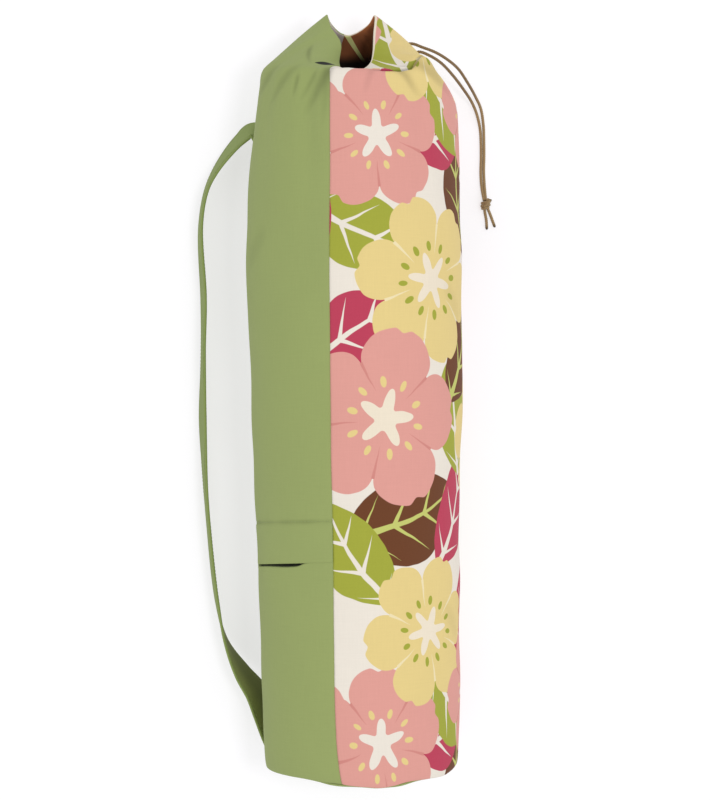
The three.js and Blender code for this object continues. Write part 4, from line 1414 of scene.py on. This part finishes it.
def stitch_rows(name, lines, material):
    """One mesh of the stitches along several lines. Each line is an array of points and one of the
    cloth's normals there; stitch centres lie at even distances along it."""
    turn = np.linspace(0, 2 * math.pi, STITCH_SIDES, endpoint=False)
    ahead_by = np.repeat(STITCH_RINGS[:, 0], STITCH_SIDES) * STITCH_LENGTH / 2
    aside_by = (STITCH_RINGS[:, 1:] * np.cos(turn)).ravel() * STITCH_THICK / 2
    up_by = (STITCH_RINGS[:, 1:] * np.sin(turn)).ravel() * STITCH_THICK / 2
    own_faces = grid_faces(len(STITCH_RINGS), STITCH_SIDES, round_rows=True)
    size = len(ahead_by)
    caps = cap_faces(size - STITCH_SIDES, STITCH_SIDES)
    all_points, all_faces = [], []
    start = 0
    for line, normals in lines:
        travelled = np.concatenate([[0], np.cumsum(np.linalg.norm(np.diff(line, axis=0), axis=1))])
        wanted = np.arange(STITCH_PITCH, travelled[-1] - STITCH_PITCH, STITCH_PITCH)
        centre = np.stack([np.interp(wanted, travelled, line[:, k]) for k in range(3)], axis=1)
        up = unit(np.stack([np.interp(wanted, travelled, normals[:, k]) for k in range(3)], axis=1))
        ahead = unit(np.gradient(centre, axis=0))
        aside = np.cross(up, ahead)
        points = centre[:, None] + ahead_by[:, None] * ahead[:, None]
        points = points + aside_by[:, None] * aside[:, None] + up_by[:, None] * up[:, None]
        first = start + size * np.arange(len(wanted))
        all_points.append(points.reshape(-1, 3))
        all_faces += (own_faces[None] + first[:, None, None]).reshape(-1, 4).tolist()
        all_faces += [[corner + shift for corner in cap] for shift in first.tolist() for cap in caps]
        start += size * len(wanted)
    piece = new_piece(name, np.vstack(all_points), all_faces, [material])
    print(name, "has", start // size, "stitches")
    return piece


def thread_material(name, code):
    """Plain cotton thread."""
    material, tree, shader = new_material(name, 0.8, 0.1)
    shader.inputs["Base Color"].default_value = colour(code)
    return material


green_thread = thread_material("green_thread", "#909e62")
SEAM_ROW = 29
seam_line = (upper_points[:, SEAM_ROW], upper_normals[:, SEAM_ROW])
stitch_rows("pocket_stitches", [seam_line], green_thread)

# %% [markdown]
# The bottom is a round of the same green canvas. Its edge is rolled where it is sewn to
# the tube, and its middle bulges a little from the weight of the mat.

# %% The round bottom
BASE_COLUMNS = 150
BASE_SHOWN = (-16, 25)
BASE_HIDING = 0.012
BASE_SINK = 1.9 * MM
BASE_OUTLINE = table("share along", [
    [0.0, -0.55], [0.2, -0.52], [0.4, -0.44], [0.6, -0.3], [0.75, -0.14], [0.86, 0.02], [0.91, 0.1],
    [0.945, 0.06], [0.97, -0.02], [0.99, 0.08], [1.0, 0.3], [1.0, 0.6], [0.99, 0.85], [0.97, 1.0],
    [0.6, 1.0], [0.3, 1.0], [0.0, 1.0],
])
around = np.linspace(FULL_TURN, 0, BASE_COLUMNS, endpoint=False)[:, None]
turn = np.radians(around)
shown = sum(np.exp(-((turn_from(around, centre) / 8) ** 2)) for centre in BASE_SHOWN)
reach = tube_radius(0) * (1 - BASE_HIDING * (1 - shown)) * BASE_OUTLINE["share"][None, :]
across = reach * np.sin(turn)
height = np.maximum(axis_height(0) + reach * np.cos(turn), 0)
depth = BASE_CLOTH * BASE_OUTLINE["along"][None, :] + 0 * turn - BODY_MIDDLE
depth -= foot_drop(around, 0.0) * BASE_OUTLINE["share"][None, :] ** 2
depth += BASE_SINK * (1 - shown) * BASE_OUTLINE["share"][None, :] ** 2
disc = np.stack([across, depth, height], axis=-1)
disc_place = np.stack([across, height], axis=-1)
disc_faces = grid_faces(BASE_COLUMNS, len(BASE_OUTLINE["share"]), round_columns=True)
disc_piece = new_piece("round_bottom", disc, disc_faces, [green_canvas], None, disc_place)
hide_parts("base_disc")
print("the bottom measures", round(2 * float(across.max()) / MM, 1), "mm across")

# %% [markdown]
# The strap is a band of canvas, folded and stitched along both edges. Its run bows out
# from the bag's left side and twists a little, so it is a profile carried along a path:
# at each stop we know the middle of the band and how far it leans.

# %% The strap
STRAP_WIDTH = 38 * MM
STRAP_THICKNESS = 2.4 * MM
STRAP_STANDOFF = 46 * MM
STRAP_SEAT_ANGLE = -125.0
STRAP_TAB = 26 * MM
STRAP_FOOT_ALONG = 7 * MM
STRAP_HEAD_ALONG = 566 * MM
STRAP_LIFT = 3 * MM
STRAP_RUN = table("along out up lean", [
    [0.04, -0.12, 0.79, -31], [0.069, 0.005, 0.76, -31], [0.098, 0.16, 0.69, -27], [0.131, 0.46, 0.61, -16],
    [0.176, 0.77, 0.55, 1], [0.234, 0.92, 0.53, 7], [0.353, 1.045, 0.53, 7], [0.42, 1.08, 0.53, 8],
    [0.511, 1.054, 0.53, 12], [0.613, 1.015, 0.53, 8], [0.696, 0.965, 0.53, 10], [0.804, 1.015, 0.53, 8],
    [0.858, 0.924, 0.54, 9], [0.889, 0.735, 0.58, 13], [0.915, 0.485, 0.66, 18], [0.934, 0.248, 0.75, 22],
    [0.946, 0.04, 0.79, 27], [0.944, -0.13, 0.82, 31],
])


def strap_seat(along, lift):
    """A stop on the wall: the wall's point, moved out by a gap, a lift and half the band."""
    angle = np.full(1, STRAP_SEAT_ANGLE)
    near = cloth_surface(angle + np.array([-0.5, 0.5]), station_at(along, angle) + np.zeros(2))
    far = cloth_surface(angle + np.zeros(2), station_at(along, angle) + np.array([-0.004, 0.004]))
    normal = unit(np.cross(near[1] - near[0], far[1] - far[0]))
    wall = cloth_surface(angle, station_at(along, angle))[0]
    return wall + normal * (SEAM_GAP + lift + STRAP_THICKNESS / 2)


run_along = STRAP_RUN["along"] * BODY_LENGTH
run_side = -(tube_radius(run_along) + STRAP_STANDOFF * STRAP_RUN["out"])
free = np.stack([run_side, run_along - BODY_MIDDLE, STRAP_WIDTH * STRAP_RUN["up"]], axis=1)
seat_lean = 90 + STRAP_SEAT_ANGLE
stops = np.vstack([
    strap_seat(STRAP_FOOT_ALONG, STRAP_THICKNESS / 3), free, strap_seat(STRAP_HEAD_ALONG, STRAP_LIFT),
    strap_seat(STRAP_HEAD_ALONG - STRAP_TAB / 2, SEAM_GAP), strap_seat(STRAP_HEAD_ALONG - STRAP_TAB, 0.0),
])
leans = table("at lean", list(zip(
    np.arange(len(stops)) / (len(stops) - 1),
    np.concatenate([[seat_lean], STRAP_RUN["lean"], [-seat_lean] * 3]),
)))
STRAP_STATIONS = 420
STRAP_FACE_STEPS = 31
STRAP_RIPPLE = 0.35 * MM
STRAP_LOWEST = 0.3 * MM
STITCH_INSET = 3.2 * MM
STITCH_GROOVE = 0.35 * MM
STITCH_GROOVE_SPREAD = 1.2 * MM
STRAP_SHADE = 0.42
STRAP_LIT_SHARE = 0.95
STRAP_LIT_FADE = 1.1
STRAP_DARK_TO = 160 * MM


def strap_frame(share):
    """Middle, across and through directions of the band at shares of its run."""
    place = smooth_curve(stops, share)
    ahead = unit(np.gradient(place, axis=0))
    side = unit(np.cross(ahead, UP))
    rise = np.cross(side, ahead)
    lean = np.radians(read_table(leans, "lean", share))[:, None]
    across = rise * np.cos(lean) + side * np.sin(lean)
    through = unit(np.cross(across, ahead))
    return place, across, through


def strap_profile(steps):
    """Half the band's section as (across, through) shares: flat, a groove under each stitch row, and a
    round edge."""
    flat = np.linspace(1, -1, steps)
    edge = STRAP_WIDTH / 2 - STRAP_THICKNESS / 2
    upper = np.stack([flat * edge, np.full(steps, STRAP_THICKNESS / 2)], axis=1)
    row = np.abs(np.abs(upper[:, 0]) - (STRAP_WIDTH / 2 - STITCH_INSET))
    upper[:, 1] -= STITCH_GROOVE * np.exp(-((row / STITCH_GROOVE_SPREAD) ** 2))
    bend = np.linspace(0, math.pi, 6)[1:-1]
    round_edge = [-edge - np.sin(bend) * STRAP_THICKNESS / 2, np.cos(bend) * STRAP_THICKNESS / 2]
    left = np.stack(round_edge, axis=1)
    half = np.vstack([upper, left])
    return np.vstack([half, -half])


share = np.linspace(0, 1, STRAP_STATIONS)
place, across, through = strap_frame(share)
profile = strap_profile(STRAP_FACE_STEPS)
lengthwise = np.concatenate([[0], np.cumsum(np.linalg.norm(np.diff(place, axis=0), axis=1))])
band = place[:, None] + profile[None, :, :1] * across[:, None] + profile[None, :, 1:] * through[:, None]
wander = 0.8 * np.sin(lengthwise / (51 * MM))
ripple = STRAP_RIPPLE * np.sin(lengthwise / (23 * MM) + wander)
aside = profile[None, :, 0] / (STRAP_WIDTH / 2)
band += (ripple[:, None] * aside ** 2)[..., None] * through[:, None]
band[..., 2] = np.maximum(band[..., 2], STRAP_LOWEST)
size = len(profile)
band_place = np.empty((STRAP_STATIONS, size, 2))
band_place[..., 0] = profile[None, :, 0]
band_place[..., 1] = lengthwise[:, None]
band_faces = grid_faces(STRAP_STATIONS, size, round_rows=True).tolist()
band_faces += cap_faces((STRAP_STATIONS - 1) * size, size)
row = np.arange(size)
under_face_rows = (row >= size // 2) & (row < size // 2 + STRAP_FACE_STEPS - 1)
numbers = np.concatenate([np.tile(under_face_rows, STRAP_STATIONS - 1).astype(np.int32), [0, 0]])
finishes = [strap_canvas, strap_shaded_under]
strap_piece = new_piece("shoulder_strap", band, band_faces, finishes, numbers, band_place)
# Painted shade on the strap's under face, darker towards the bag and near its foot.
towards_bag = ease((STRAP_LIT_SHARE - aside) / STRAP_LIT_FADE)
near_foot = ease((STRAP_DARK_TO - lengthwise[:, None]) / (60 * MM))
shade = STRAP_SHADE * towards_bag * near_foot * (row >= size // 2)[None, :]
add_attribute(strap_piece, "painted_shade", shade)
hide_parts("strap")
print("strap length:", round(lengthwise[-1], 3), "m")

# %% The strap's stitches
STITCH_SINK = 0.25 * MM
PLAIN_ENDS = 6

stitched = slice(PLAIN_ENDS, STRAP_STATIONS - PLAIN_ENDS)
edge_rows = []
for sign in (-1, 1):
    for face in (-1, 1):
        out = across * sign * (STRAP_WIDTH / 2 - STITCH_INSET)
        out = out + through * face * (STRAP_THICKNESS / 2 - STITCH_SINK)
        edge_rows.append(((place + out)[stitched], (through * face)[stitched]))
stitch_rows("strap_stitches", edge_rows, green_thread)

# %% [markdown]
# The floor is plain and nearly white. One soft light stands to the right, high up, so that
# each shadow falls a little to the left. The white surroundings fill the rest.

# %% Floor, lights and tone
FLOOR_SIZE = 6.0
FLOOR_GLOW = 0.6
FLOOR_TONE = (0.38, 0.372, 0.395, 1)
FLOOR_ROUGHNESS = 0.9
KEY_PLACE = (0.58, 0, 2.5)
KEY_TARGET = (0, 0, 0.05)
KEY_SIZE = 0.4
KEY_POWER = 15.5
floor_mesh = bpy.data.meshes.new("floor")
half = FLOOR_SIZE / 2
floor_corners = [(-half, -half, 0), (half, -half, 0), (half, half, 0), (-half, half, 0)]
floor_mesh.from_pydata(floor_corners, [], [(0, 1, 2, 3)])
floor = bpy.data.objects.new("floor", floor_mesh)
bpy.context.scene.collection.objects.link(floor)
floor_material = bpy.data.materials.new("floor_white")
floor_material.use_nodes = True
floor_shader = floor_material.node_tree.nodes["Principled BSDF"]
floor_shader.inputs["Base Color"].default_value = FLOOR_TONE
floor_shader.inputs["Roughness"].default_value = FLOOR_ROUGHNESS
floor_shader.inputs["Emission Color"].default_value = (1, 1, 1, 1)
floor_shader.inputs["Emission Strength"].default_value = FLOOR_GLOW
floor_mesh.materials.append(floor_material)


def area_light(name, place, target, size, power):
    """A square light that looks at a target."""
    data = bpy.data.lights.new(name, "AREA")
    data.size = size
    data.energy = power
    lamp = bpy.data.objects.new(name, data)
    lamp.location = place
    direction = Vector(target) - Vector(place)
    lamp.rotation_euler = direction.to_track_quat("-Z", "Y").to_euler()
    bpy.context.scene.collection.objects.link(lamp)
    return lamp


area_light("soft_key", KEY_PLACE, KEY_TARGET, KEY_SIZE, KEY_POWER)
print("the light stands", KEY_PLACE[2], "m above the floor")
world = bpy.data.worlds.new("studio")
world.use_nodes = True
world.node_tree.nodes["Background"].inputs["Color"].default_value = (1, 1, 1, 1)
world.node_tree.nodes["Background"].inputs["Strength"].default_value = 1.0
bpy.context.scene.world = world
bpy.context.scene.view_settings.view_transform = "Standard"
